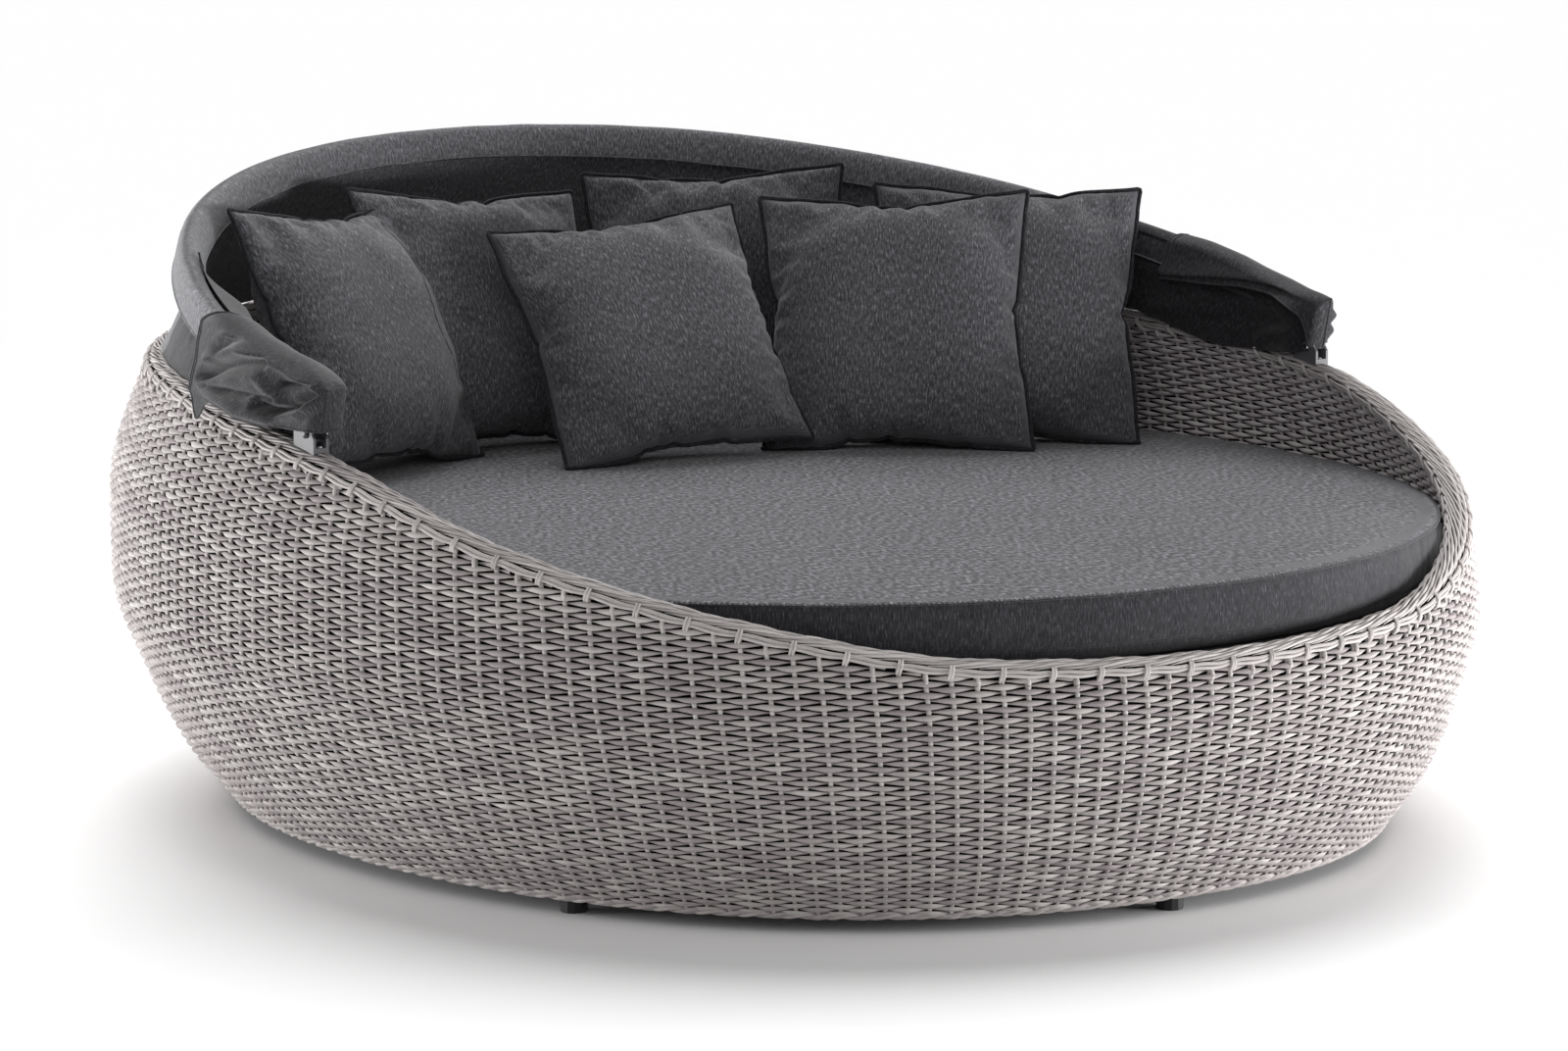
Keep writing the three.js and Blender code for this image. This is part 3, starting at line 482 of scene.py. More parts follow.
def stakes(name, heights, inset, face, under):
    """Upright stakes that show between the strands in every other row."""
    rows = len(heights)
    level = np.arange(0, rows - 0.5, 0.5)
    z = np.interp(level, np.arange(rows), heights)
    i = np.arange(STAKES)[:, None]
    out = (1 - np.cos(math.pi * (i + level[None]))) / 2
    depth = 0.0062 - 0.0034 * out
    angle = np.radians([-90, -55, -20, 20, 55, 90])
    turn = stake_turn(np.arange(STAKES))
    reach = STAKE_THICK * np.sin(angle) / (arc[-1] / STAKES)
    spread = stake_turn(np.arange(STAKES)[:, None] + reach[None])
    spread = np.where(spread - turn[:, None] > math.pi, spread - 2 * math.pi, spread)
    shape = (STAKES, len(level), 6)
    places = np.broadcast_to(z[None, :, None], shape)
    raised = depth[..., None] - STAKE_THICK * np.cos(angle)
    skin = inset + raised if face < 0 else inset + WEAVE_DEEP - raised
    points = wall(np.broadcast_to(spread[:, None], shape), places, skin)
    kept = z[None] < rim_top(turn)[:, None] - under * 0.8
    index = np.arange(np.prod(shape)).reshape(shape)
    fine = kept[:, :-1] & kept[:, 1:]
    quads = stacked(index[:, :-1, :-1], index[:, :-1, 1:], index[:, 1:, 1:], index[:, 1:, :-1])
    quads = quads if face < 0 else quads[..., ::-1]
    tone = np.broadcast_to(0.70 + 0.30 * hashed(i, np.floor(level / 2)[None], 23)[..., None], shape)
    fibre = stacked(places, angle * STAKE_THICK, i[..., None])
    piece = mesh_object(f"{name}_stakes", points, quads[fine].reshape(-1, 4),
                        {"tone": np.clip(tone, 0, 1).ravel(), "fibre": fibre.reshape(-1, 3)})
    return dress(piece, wicker)


def painted_shade_sheet(name, low, inset, face):
    """A near-black sheet behind the weave: painted shade that darkens the gaps between the strands."""
    turns = np.linspace(0, 2 * math.pi, 481)[:-1]
    levels = np.linspace(0, 1, 61)
    top = rim_top(turns) - 0.008
    z = low + (top[:, None] - low) * levels[None]
    points = wall(np.broadcast_to(turns[:, None], z.shape), z, inset)
    piece = mesh_object(name, points, grid_faces(480, 61, close_rows=True, flip=face > 0))
    return dress(piece, gap_painted_shade)


BORDER_COVERS = 0.021
outer_pieces = weave("shell_weave", 0.0245, 0.0, -1, 8, BORDER_COVERS, wicker)
# near-black sheets of painted shade lie behind the outer and the inner weave
outer_shade_sheet = painted_shade_sheet("shell_painted_shade", 0.0205, 0.0088, -1)
# the liner weave wears the lighter strands, which are painted light
inner_pieces = weave("liner_weave", 0.362, WALL - WEAVE_DEEP, 1, 4, BORDER_COVERS, liner_strand_painted_light)
inner_shade_sheet = painted_shade_sheet("liner_painted_shade", 0.358, WALL - 0.0088, 1)


class Strands:
    """Collects round strands and makes one mesh of them."""

    def __init__(self):
        self.points, self.faces, self.tones, self.fibres, self.count = [], [], [], [], 0

    def add(self, path, radius, sides, tone, key, closed=False, along=None):
        p, f = tube(path, radius, sides, closed=closed)
        self.points.append(p)
        self.faces.append(f + self.count)
        self.tones.append(np.full(len(p), tone))
        along = run_along(path) if along is None else along
        self.fibres.append(stacked(np.repeat(along, sides), np.tile(np.arange(sides) * 0.001, len(path)), key))
        self.count += len(p)

    def joined(self):
        return map(np.concatenate, (self.points, self.faces, self.tones, self.fibres))

    def made(self, name):
        points, faces, tones, fibres = self.joined()
        return dress(mesh_object(name, points, faces, {"tone": tones, "fibre": fibres}), wicker)


def laid_border():
    """Strands that run along the rim and roll from the outside over the top to the inside."""
    run = 9
    steps = run * 5 + 1
    start = np.arange(STAKES)[:, None]
    share = np.linspace(0, 1, steps)[None]
    q = start + 0.15 + share * run
    turn = stake_turn(q)
    rim = rim_top(turn)
    angle = np.radians(2 + 176 * share) + 0.06 * (hashed(start, 3, 1) - 0.5)
    beat = 0.0010 * np.cos(math.pi * (q + start)) + 0.0008 * (hashed(start, 1, 2) - 0.5)
    inset = WALL / 2 - (0.0148 + beat) * np.cos(angle)
    z = rim - 0.0105 + (0.0092 + beat) * np.sin(angle) + 0.0008 * np.sin(q * 2.1)
    path = wall(turn, z, inset)
    ahead = unit(np.gradient(path, axis=1))
    middle = wall(turn, rim - 0.0125, np.full(turn.shape, WALL / 2))
    out = path - middle
    out = unit(out - (out * ahead).sum(-1, keepdims=True) * ahead)
    side = np.cross(ahead, out)
    sides = 8
    a = np.arange(sides) / sides * 2 * math.pi
    wide, tall = 0.0020, 0.0019
    taper = np.clip(np.minimum(share, 1 - share) * 12, 0.15, 1)[..., None, None]
    points = (path[:, :, None] + taper * (wide * np.cos(a)[:, None] * side[:, :, None]
              + tall * np.sin(a)[:, None] * out[:, :, None]))
    index = np.arange(STAKES * steps * sides).reshape(STAKES, steps, sides)
    after = np.roll(index, -1, 2)
    quads = stacked(index[:, :-1], after[:, :-1], after[:, 1:], index[:, 1:])
    tone = np.broadcast_to(0.55 + 0.45 * hashed(start, 9, 4)[..., None], index.shape)
    fibre = stacked((q * 0.04)[..., None], a * wide, start[..., None])
    piece = mesh_object("rim_border_laid", points, quads.reshape(-1, 4),
                        {"tone": tone.ravel(), "fibre": fibre.reshape(-1, 3)})
    return dress(piece, wicker)


def edge_path(q, below, out, face):
    """Places on the rim's outer or inner side, at a depth below its top and a distance out of it."""
    turn = stake_turn(q)
    inset = -out if face < 0 else WALL + out
    return wall(turn, rim_top(turn) - below, inset)


def border_pairs():
    """A pair of long strands under the rim, held by wraps at every second stake."""
    strands = Strands()
    q = np.linspace(0, STAKES, STAKES * 8 + 1)[:-1]
    for face in (-1, 1):
        for level in range(2):
            held = np.abs(np.sin(math.pi * q / 2))
            below = 0.0132 + 0.0045 * level - 0.0010 * np.sin(math.pi * q + level) - 0.0016 * ((q / 2) % 1 - 0.5)
            out = 0.0004 + 0.0019 * held**0.6 + 0.0006 * level
            radius = 0.0027 * (0.80 + 0.20 * held**0.5)
            strands.add(edge_path(q, below, out, face), radius, 7, 0.72 + 0.1 * level, level, closed=True)
    return strands.made("rim_border_pairs")


def border_wraps():
    """At even stakes a doubled strand wraps over the pair; at odd ones the stake ends in a bulb under it."""
    strands = Strands()
    share = np.linspace(0, 1, 11)
    arch = np.sin(math.pi * share)
    for face in (-1, 1):
        for i in range(STAKES):
            lean = 0.05 * (float(hashed(i, face, 3)) - 0.5)
            tone = 0.70 + 0.30 * float(hashed(i, face, 5))
            if i % 2:
                q = i + lean + 0.02 * share
                bulb = edge_path(q, 0.0350 - 0.0155 * share, 0.0006 + 0.0022 * arch, face)
                strands.add(bulb, 0.0031 * (0.55 + 0.45 * arch**0.5), 7, tone, i)
                continue
            for k in (-0.055, 0.055):
                q = i + lean + k + 0.20 * (share - 0.4)
                wrap = edge_path(q, 0.0265 - 0.0195 * share, 0.0008 + 0.0046 * arch**0.8, face)
                strands.add(wrap, 0.0023 * (0.6 + 0.4 * arch**0.5), 7, tone, i)
    return strands.made("rim_border_wraps")


def border_core():
    """A core under the laid strands, in the near-black painted shade of the weave's gaps."""
    turns = np.linspace(0, 2 * math.pi, 641)[:-1]
    angle = np.radians(np.linspace(-60, 240, 25))
    rim = rim_top(turns)[:, None]
    z = rim - 0.0125 + 0.0090 * np.sin(angle)[None]
    inset = WALL / 2 - 0.0142 * np.cos(angle)[None] + 0 * z
    points = wall(np.broadcast_to(turns[:, None], z.shape), z, inset)
    piece = mesh_object("rim_border_core", points, grid_faces(640, 25, close_rows=True))
    return dress(piece, gap_painted_shade)


def foot_border():
    """Two twisted strands finish the bottom edge."""
    strands = Strands()
    q = np.linspace(0, STAKES, STAKES * 6 + 1)[:-1]
    for k in range(2):
        swing = q * math.pi + k * math.pi
        path = wall(stake_turn(q), 0.0262 + 0.0026 * np.sin(swing), 0.0022 - 0.0024 * np.cos(swing))
        strands.add(path, 0.0033, 7, 0.5 + 0.2 * k, k, closed=True, along=q * 0.04)
    return strands.made("foot_border_laid")


border_pieces = [laid_border(), border_core(), border_pairs(), border_wraps()]
outer_pieces.append(foot_border())
for piece in [*outer_pieces, outer_shade_sheet, *inner_pieces, inner_shade_sheet, *border_pieces]:
    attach(piece, "base")
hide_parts("outer_wicker_shell")
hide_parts("inner_wicker_liner")
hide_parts("rim_border")


# The mattress

def mattress_top(x, y):
    """Height of the mattress top, lower by the crown towards the edge."""
    depth = np.where(y < 0, MATTRESS["front"], MATTRESS["back"])
    out = (np.abs(x / MATTRESS["half"]) ** PLAN_POWER + np.abs(y / depth) ** PLAN_POWER) ** (1 / PLAN_POWER)
    return SEAT - 0.0003 - 0.010 * np.clip(out, 0, 1) ** 6


def mattress():
    """The pad, its points row by row, and how many rows its top has."""
    around_count, n_top = 720, 60
    turns = np.arange(around_count) / around_count * 2 * math.pi
    low, high = DECK_TOP + 0.0003, SEAT - 0.0003
    # the side from the top seam to the underside: how far out of the plan, and how far below the top
    side = [(-0.016, 0.0092), (-0.009, 0.0099), (-0.0050, 0.0108), (-0.0032, 0.0116), (-0.0020, 0.0126),
            (-0.0036, 0.0138), (-0.0024, 0.0160), (0.0000, 0.024), (0.0025, 0.040), (0.0030, 0.052), (0.0024, 0.064),
            (0.0006, 0.0745), (-0.0018, 0.0795), (-0.0036, 0.0812), (-0.0024, 0.0826), (-0.0034, 0.0850),
            (-0.0070, 0.0920), (-0.0130, 0.0975)]
    side = [(out, high - below) for out, below in side] + [(-0.0220, low + 0.0012), (-0.0400, low)]
    points = []
    for share in np.linspace(0.0002, 0.965, n_top):
        x, y = plan(turns, MATTRESS["half"] * share, MATTRESS["front"] * share, MATTRESS["back"] * share)
        points.append(stacked(x, y, mattress_top(x, y)))
    for out, z in side:
        x, y = plan(turns, MATTRESS["half"] + out, MATTRESS["front"] + out, MATTRESS["back"] + out)
        points.append(stacked(x, y, z))
    points = np.array(points)
    out_way = unit(points[n_top + 9] * [1, 1, 0])
    sample = stacked(np.cos(turns) * 3, np.sin(turns) * 3, 0)
    for k in range(n_top, len(points)):
        v = (k - n_top) / len(side)
        pucker = (0.0011 * ripple(sample * 2 + [0, 0, v * 0.4], 0.06, 3)
                  + 0.0016 * ripple(sample + [0, 0, v * 0.3], 0.21, 4))
        points[k] += out_way * pucker[:, None] * math.sin(math.pi * min(max(v, 0.05), 0.95))
        points[k, :, 2] += 0.0008 * ripple(sample, 0.15, 5)
    flat = points[:n_top].reshape(-1, 3)
    flat[:, 2] += 0.0012 * ripple(flat * [1, 1, 0], 0.16, 6) + 0.0014 * ripple(flat * [1, 1, 0], 0.42, 7)
    points[:n_top] = flat.reshape(n_top, -1, 3)
    rows_count = len(points)
    faces = grid_faces(rows_count, around_count, close_columns=True, flip=True)
    flat_uv = points[..., :2].copy()
    run = np.cumsum(np.linalg.norm(np.diff(points[:, 0], axis=0, prepend=points[:1, 0]), axis=-1))
    for k in range(n_top, rows_count):
        flat_uv[k] = stacked(turns * 0.98, run[k])
    piece = mesh_object("mattress_pad", points, faces, uvs=flat_uv.reshape(-1, 2))
    dress(piece, mattress_fabric)
    # the side faces get the darker copy of the fabric: painted shade
    piece.data.materials.append(mattress_shaded_side_fabric)
    on_shaded_side = np.array(faces).min(1) >= (n_top + 3) * around_count
    piece.data.polygons.foreach_set("material_index", on_shaded_side.astype(np.int32))
    return piece, points, n_top


mattress_piece, mattress_points, mattress_rows = mattress()
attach(mattress_piece, "base")
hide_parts("mattress")
seams = Strands()
for row in (mattress_rows + 4, mattress_rows + 13):
    seams.add(mattress_points[row] * [1.0006, 1.0006, 1], 0.0014, 6, 0, 0, closed=True)
points, faces, _, _ = seams.joined()
# the seams on the side take the side's painted shade
stitches = dress(mesh_object("mattress_seams", points, faces, uvs=points[:, :2]), mattress_shaded_side_fabric)
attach(stitches, "base")


def mattress_stitches():
    """Short stitches along the top seam."""
    ring = mattress_points[mattress_rows + 2] + [0, 0, 0.0006]
    ring = np.concatenate([ring, ring[:1]])
    run = run_along(ring)
    strands = Strands()
    for k, start in enumerate(np.arange(0, run[-1] - 0.008, 0.0072)):
        places = start + np.array([0, 0.0009, 0.0030, 0.0039])
        path = stacked(*(np.interp(places, run, ring[:, i]) for i in range(3)))
        path[[0, 3], 2] -= 0.0010
        strands.add(path, 0.0009, 5, 0.5, k)
    points, faces, _, fibres = strands.joined()
    return dress(mesh_object("mattress_stitches", points, faces, uvs=fibres[:, :2]), thread)


stitch_piece = mattress_stitches()
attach(stitch_piece, "base")


# The cushions

CUSHION = 0.432
CELLS = 72
SECOND_FACE_AT = 0.9
THICKEST = 0.152
# place on the mattress in shares of its half width, then turn, lean and roll in degrees
CUSHION_PLACES = {
    "left": (-0.43, 0.52, 26, 26, 5),
    "back_left": (-0.152, 0.64, 4, 22, 3.5),
    "back_centre": (0.318, 0.668, -28, 15, -2),
    "front_centre": (0.036, 0.352, -10, 34, -5),
    "front_right": (0.394, 0.262, -37, 23, -1.5),
    "right": (0.606, 0.24, -33, 21, 1.5),
}


def cover(seed):
    """Two faces of a cushion sewn round the edge, already a little full."""
    rng = np.random.default_rng(seed)
    grid = np.linspace(-1, 1, CELLS + 1)
    u, v = np.meshgrid(grid, grid, indexing="ij")
    draw = 0.075
    x = u * (1 - draw * (1 - v**2) * np.abs(u) ** 3)
    z = v * (1 - draw * (1 - u**2) * np.abs(v) ** 3)
    swell = (np.clip(1 - np.abs(u) ** 2.6, 0, 1) * np.clip(1 - np.abs(v) ** 2.6, 0, 1)) ** 0.5
    half = CUSHION / 2
    inner = np.zeros(u.shape, bool)
    inner[1:-1, 1:-1] = True
    front = stacked(x * half, -0.062 * swell, z * half)
    number = np.arange(u.size).reshape(u.shape)
    behind = number.copy()
    behind[inner] = u.size + np.arange(inner.sum())
    points = np.concatenate([front.reshape(-1, 3), (front * [1, -1, 1])[inner]])
    flat = stacked(u * half, v * half)
    uvs = np.concatenate([flat.reshape(-1, 2), flat[inner] + [SECOND_FACE_AT, 0]])
    faces = []
    for ids, way in ((number, 1), (behind, -1)):
        q = stacked(ids[:-1, :-1], ids[1:, :-1], ids[1:, 1:], ids[:-1, 1:]).reshape(-1, 4)
        faces.append(q[:, ::way])
    points = points + rng.normal(0, 0.0002, points.shape)
    edge = np.concatenate([number[:-1, 0], number[-1, :-1], number[:0:-1, -1], number[0, :0:-1]])
    return points, np.concatenate(faces), uvs, edge


def run_cloth(obj, frames, pressure=0.0, grow=0.0, tight=0.0, bend=1.0, stiff=80.0, seam=None):
    """Runs Cloth on a mesh and gives back its points; no modifier stays."""
    cloth = obj.modifiers.new("cloth", "CLOTH")
    s = cloth.settings
    s.quality = 6
    s.mass = 0.25
    s.air_damping = 1
    s.tension_stiffness = s.compression_stiffness = stiff
    s.shear_stiffness = stiff / 3
    s.bending_stiffness = bend
    s.effector_weights.gravity = 0
    s.shrink_min = -grow
    if seam is not None:
        group = obj.vertex_groups.new(name="seam")
        for index in np.nonzero(seam > 0)[0]:
            group.add([int(index)], float(seam[index]), "REPLACE")
        s.vertex_group_shrink = "seam"
        s.shrink_max = tight
    if pressure:
        s.use_pressure = True
        s.uniform_pressure_force = pressure
    cloth.collision_settings.use_collision = False
    cloth.collision_settings.use_self_collision = False
    cloth.point_cache.frame_start = 1
    cloth.point_cache.frame_end = frames
    for f in range(1, frames + 1):
        scene.frame_set(f)
    deps = bpy.context.evaluated_depsgraph_get()
    done = obj.evaluated_get(deps).to_mesh()
    points = np.empty(len(done.vertices) * 3, np.float32)
    done.vertices.foreach_get("co", points)
    obj.evaluated_get(deps).to_mesh_clear()
    obj.modifiers.remove(cloth)
    scene.frame_set(1)
    return points.reshape(-1, 3).astype(float)


def relax(points, faces, weight, rounds):
    """Evens out a mesh of quads where the weight is high."""
    pairs = np.concatenate([faces[:, [0, 1]], faces[:, [1, 2]], faces[:, [2, 3]], faces[:, [3, 0]]])
    pairs = np.concatenate([pairs, pairs[:, ::-1]])
    count = np.bincount(pairs[:, 0], minlength=len(points))[:, None]
    for _ in range(rounds):
        total = np.zeros_like(points)
        np.add.at(total, pairs[:, 0], points[pairs[:, 1]])
        points = points + (total / count - points) * weight[:, None] * 0.6
    return points


def filled(seed):
    """A filled cushion: its seam is tighter than its faces, so they pucker along it."""
    points, faces, uvs, edge = cover(seed)
    place = uvs - np.where(uvs[:, :1] > 0.5, [SECOND_FACE_AT, 0], [0, 0])
    away = (CUSHION / 2 - np.abs(place)).min(1)
    obj = mesh_object(f"filling_{seed}", points, faces)
    points = run_cloth(obj, 10, pressure=3, tight=0.035, seam=np.clip(1 - away / 0.012, 0, 1))
    bpy.data.objects.remove(obj, do_unlink=True)
    points = relax(points, faces, smooth(0.030, 0.085, away), 22)
    return points, faces, uvs, edge


def turned_in(points, i, j, angle):
    """Points turned in the plane of axes i and j."""
    p = points.copy()
    p[:, i] = points[:, i] * math.cos(angle) + points[:, j] * math.sin(angle)
    p[:, j] = -points[:, i] * math.sin(angle) + points[:, j] * math.cos(angle)
    return p


def set_cushion(points, place):
    """The part's own transform from the cushion's frame to its place."""
    x, y, yaw, lean, roll = place
    yaw, lean, roll = (math.radians(a) for a in (yaw, lean, roll))
    p = turned_in(turned_in(turned_in(points, 0, 2, roll), 1, 2, lean), 0, 1, -yaw)
    down = CUSHION / 2 * abs(math.sin(roll)) * math.cos(lean) - 0.009
    return p + [x * MATTRESS["half"], y * MATTRESS["half"], SEAT + down]


def tree_of(points, faces):
    """The faces, ready for nearest-point searches."""
    return BVHTree.FromPolygons([Vector(p) for p in points], [list(map(int, f)) for f in faces])


def press(points, tree, share, gap):
    """Moves the points that lie inside a closed form out of it, by a share of the way."""
    moved = points.copy()
    for i, p in enumerate(points):
        near, normal, _, distance = tree.find_nearest(Vector(p), 0.08)
        if near is None:
            continue
        inside = (Vector(p) - near).dot(normal)
        # beyond a thin edge the nearest face's normal says nothing about inside
        if inside < gap and (inside > 0 or -inside > 0.85 * distance):
            moved[i] += np.array(normal) * min(gap + distance if inside <= 0 else gap - inside, 0.03) * share
    return moved


fillings = [filled(seed) for seed in (1, 2, 3)]
cushion_shapes = {}
for n, (name, place) in enumerate(CUSHION_PLACES.items()):
    points, faces, uvs, edge = fillings[n % 3]
    local = points.copy()
    turned = n // 3
    if turned:
        local[:, 0] *= -1
        local[:, 1] *= -1
    low, high = local.min(0), local.max(0)
    scale = CUSHION / (high - low)[[0, 2]]
    local[:, 0] = (local[:, 0] - (low + high)[0] / 2) * scale[0]
    local[:, 2] = (local[:, 2] - low[2]) * scale[1]
    thick = high[1] - low[1]
    local[:, 1] *= min(1.0, THICKEST / thick)
    # the filling has sunk a little towards the lower half
    z = local[:, 2] / CUSHION
    local[:, 1] *= 1.05 - 0.16 * z
    cushion_shapes[name] = [set_cushion(local, place), faces, uvs, edge]


def apart(a, b):
    """Whether the boxes of two cushions don't meet."""
    return np.any(a[0].max(0) < b[0].min(0)) or np.any(b[0].max(0) < a[0].min(0))


# cushions that touch press each other in, and the later ones in the order give way last
order = ["front_centre", "front_right", "left", "right", "back_left", "back_centre"]
for _ in range(2):
    for k, name in enumerate(order):
        for other in order[:k]:
            a, b = cushion_shapes[name], cushion_shapes[other]
            if apart(a, b):
                continue
            kept = a[0].copy()
            a[0] = press(a[0], tree_of(b[0], b[1]), 0.5, 0.001)
            b[0] = press(b[0], tree_of(kept, a[1]), 0.5, 0.001)
for k, name in enumerate(order):
    shape = cushion_shapes[name]
    for other in order[:k]:
        b = cushion_shapes[other]
        if apart(shape, b):
            continue
        shape[0] = press(shape[0], tree_of(b[0], b[1]), 1.0, 0.0015)
    p = shape[0]
    floor_z = mattress_top(p[:, 0], p[:, 1]) + 0.0012
    p[:, 2] = np.maximum(p[:, 2], floor_z)

for name, (points, faces, uvs, edge) in cushion_shapes.items():
    cushion = mesh_object(f"cushion_{name}_cover", points, faces, uvs=uvs)
    sub = cushion.modifiers.new("sub", "SUBSURF")
    sub.levels = sub.render_levels = 1
    bpy.context.view_layer.objects.active = cushion
    with bpy.context.temp_override(object=cushion, active_object=cushion, selected_objects=[cushion]):
        bpy.ops.object.modifier_apply(modifier="sub")
    dress(cushion, cushion_fabric)
    centre = points.mean(0)
    ring = points[edge]
    ring = (np.roll(ring, 1, 0) + 2 * ring + np.roll(ring, -1, 0)) / 4
    ring = ring + unit(ring - centre) * 0.0018
    ring[:, 2] = np.maximum(ring[:, 2], mattress_top(ring[:, 0], ring[:, 1]) + 0.0034)
    p, f = tube(ring, 0.0033, 8, closed=True, up=np.cross(ring[0] - centre, ring[CELLS] - centre))
    piping = mesh_object(f"cushion_{name}_piping", p, f, uvs=tube_uv(len(ring), 8, 0.0026, 0.01))
    dress(piping, piping_fabric)
    for piece in (cushion, piping):
        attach(piece, "base")
    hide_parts(f"cushion_{name}")


# The canopy

# Ways along and square to the folded bows
ALONG = np.array([0, math.cos(FOLD_TILT), math.sin(FOLD_TILT)])
SQUARE = np.array([0, -math.sin(FOLD_TILT), math.cos(FOLD_TILT)])


def side_point(x, s, n):
    """A place s behind the hinge along the folded bows and n above their lowest plane."""
    return np.array([x, -HINGE_FORWARD, PIVOT_Z]) + s * ALONG + n * SQUARE


def between(t, i, j, x, a, b):
    """The place at x on the line that is at a for t[i] and at b for t[j]."""
    return (t[j] - x) / (t[j] - t[i]) * a + (x - t[i]) / (t[j] - t[i]) * b


def centripetal(control, per_span):
    """A centripetal Catmull-Rom curve through the control points."""
    control = np.array(control)
    control = np.concatenate([[2 * control[0] - control[1]], control, [2 * control[-1] - control[-2]]])
    made = []
    for i in range(1, len(control) - 2):
        p = control[i - 1:i + 3]
        t = np.concatenate([[0], np.cumsum(np.linalg.norm(np.diff(p, axis=0), axis=1) ** 0.5)])
        x = np.linspace(t[1], t[2], per_span, endpoint=False)[:, None]
        for reach in (1, 2):
            p = [between(t, k, k + reach, x, p[k], p[k + 1]) for k in range(len(p) - 1)]
        made.append(between(t, 1, 2, x, *p))
    return np.concatenate([*made, control[-2:-1]])


class Bow:
    """A bow's centre line; u runs from 0 at the right hinge round the back to 1 at the left one."""

    def __init__(self, k):
        half, n = LEAF_X[k] + BOW_BULGE, BOW_HEIGHTS[k]
        control = [side_point(LEAF_X[k], 0.013, n), side_point(LEAF_X[k], 0.039, n)]
        for t in np.linspace(0.09, math.pi - 0.09, 21):
            across, behind = half * power(math.cos(t), 2 / BOW_POWER), BOW_DEPTH * math.sin(t) ** (2 / BOW_POWER)
            control.append(side_point(across, behind, n))
        control += [side_point(-LEAF_X[k], 0.039, n), side_point(-LEAF_X[k], 0.013, n)]
        self.points = centripetal(control, 24)
        self.run = run_along(self.points)
        self.length = self.run[-1]

    def at(self, u):
        """Places and outward ways at shares of the length; beyond the ends it runs straight on."""
        u = np.asarray(u, float)
        s = np.clip(u, 0, 1) * self.length
        step = 0.004
        centre, before, after = (stacked(*(np.interp(way, self.run, self.points[:, i]) for i in range(3)))
                                 for way in (s, np.maximum(s - step, 0), np.minimum(s + step, self.length)))
        ahead = unit(after - before)
        beyond = (np.minimum(u, 0) + np.maximum(u - 1, 0)) * self.length
        centre = centre + ahead * beyond[..., None]
        return centre, unit(np.cross(ahead, SQUARE))


bows = [Bow(k) for k in range(3)]


def on_bow(bow, u, o, n):
    """Points at outward o and square n from a bow, at shares u of its length."""
    centre, out = bow.at(u)
    return centre + o[..., None] * out + n[..., None] * SQUARE


def cloth_uv(points):
    """Flat places of a grid of points, measured along its rows and columns."""
    a = np.linalg.norm(np.diff(points, axis=0), axis=-1).mean(1)
    b = np.linalg.norm(np.diff(points, axis=1), axis=-1)
    v = np.concatenate([np.zeros((len(points), 1)), np.cumsum(b, 1)], 1)
    return stacked(np.concatenate([[0], np.cumsum(a)])[:, None], v)


def cloth_sheet(name, points, what=canopy_fabric, flip=False):
    """A canopy sheet from a grid of points."""
    faces = grid_faces(*points.shape[:2], flip=flip)
    piece = mesh_object(name, points, faces, uvs=cloth_uv(points).reshape(-1, 2))
    dress(piece, what)
    return piece


def with_painted_shade(piece, painted_shade_faces, what):
    """Gives the marked faces of a sheet another cloth, which the callers use to paint shade with the hood's darker
    cloth.
    """
    piece.data.materials.append(what)
    piece.data.polygons.foreach_set("material_index", np.asarray(painted_shade_faces).astype(np.int32))


def hem(name, path, radius, body, what=canopy_fabric):
    """A rolled hem; body is a body's name, or -1 or 1 for cloth beside the left or right hinge."""
    p, f = tube(path, radius, 6)
    piece = mesh_object(name, p, f, uvs=tube_uv(len(path), 6, 0.002, 0.005))
    dress(piece, what)
    if body in (-1, 1):
        beside_hinge(piece, body)
    else:
        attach(piece, body)
    return piece


def beside_hinge(piece, side):
    """Bakes the cloth beside a hinge into world space; its places on the front bow at s -0.03 and 0.12 are worked
    out but not used.
    """
    start, end = (tuple(float(x) for x in on_leg(side, np.array([s]), np.zeros(1), np.zeros(1))[0])
                  for s in (-0.03, 0.12))
    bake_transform(piece)


SLEEVE_PAINTED_SHADE_TO = 0.50
SKIRT_PAINTED_SHADE_FROM = 0.28


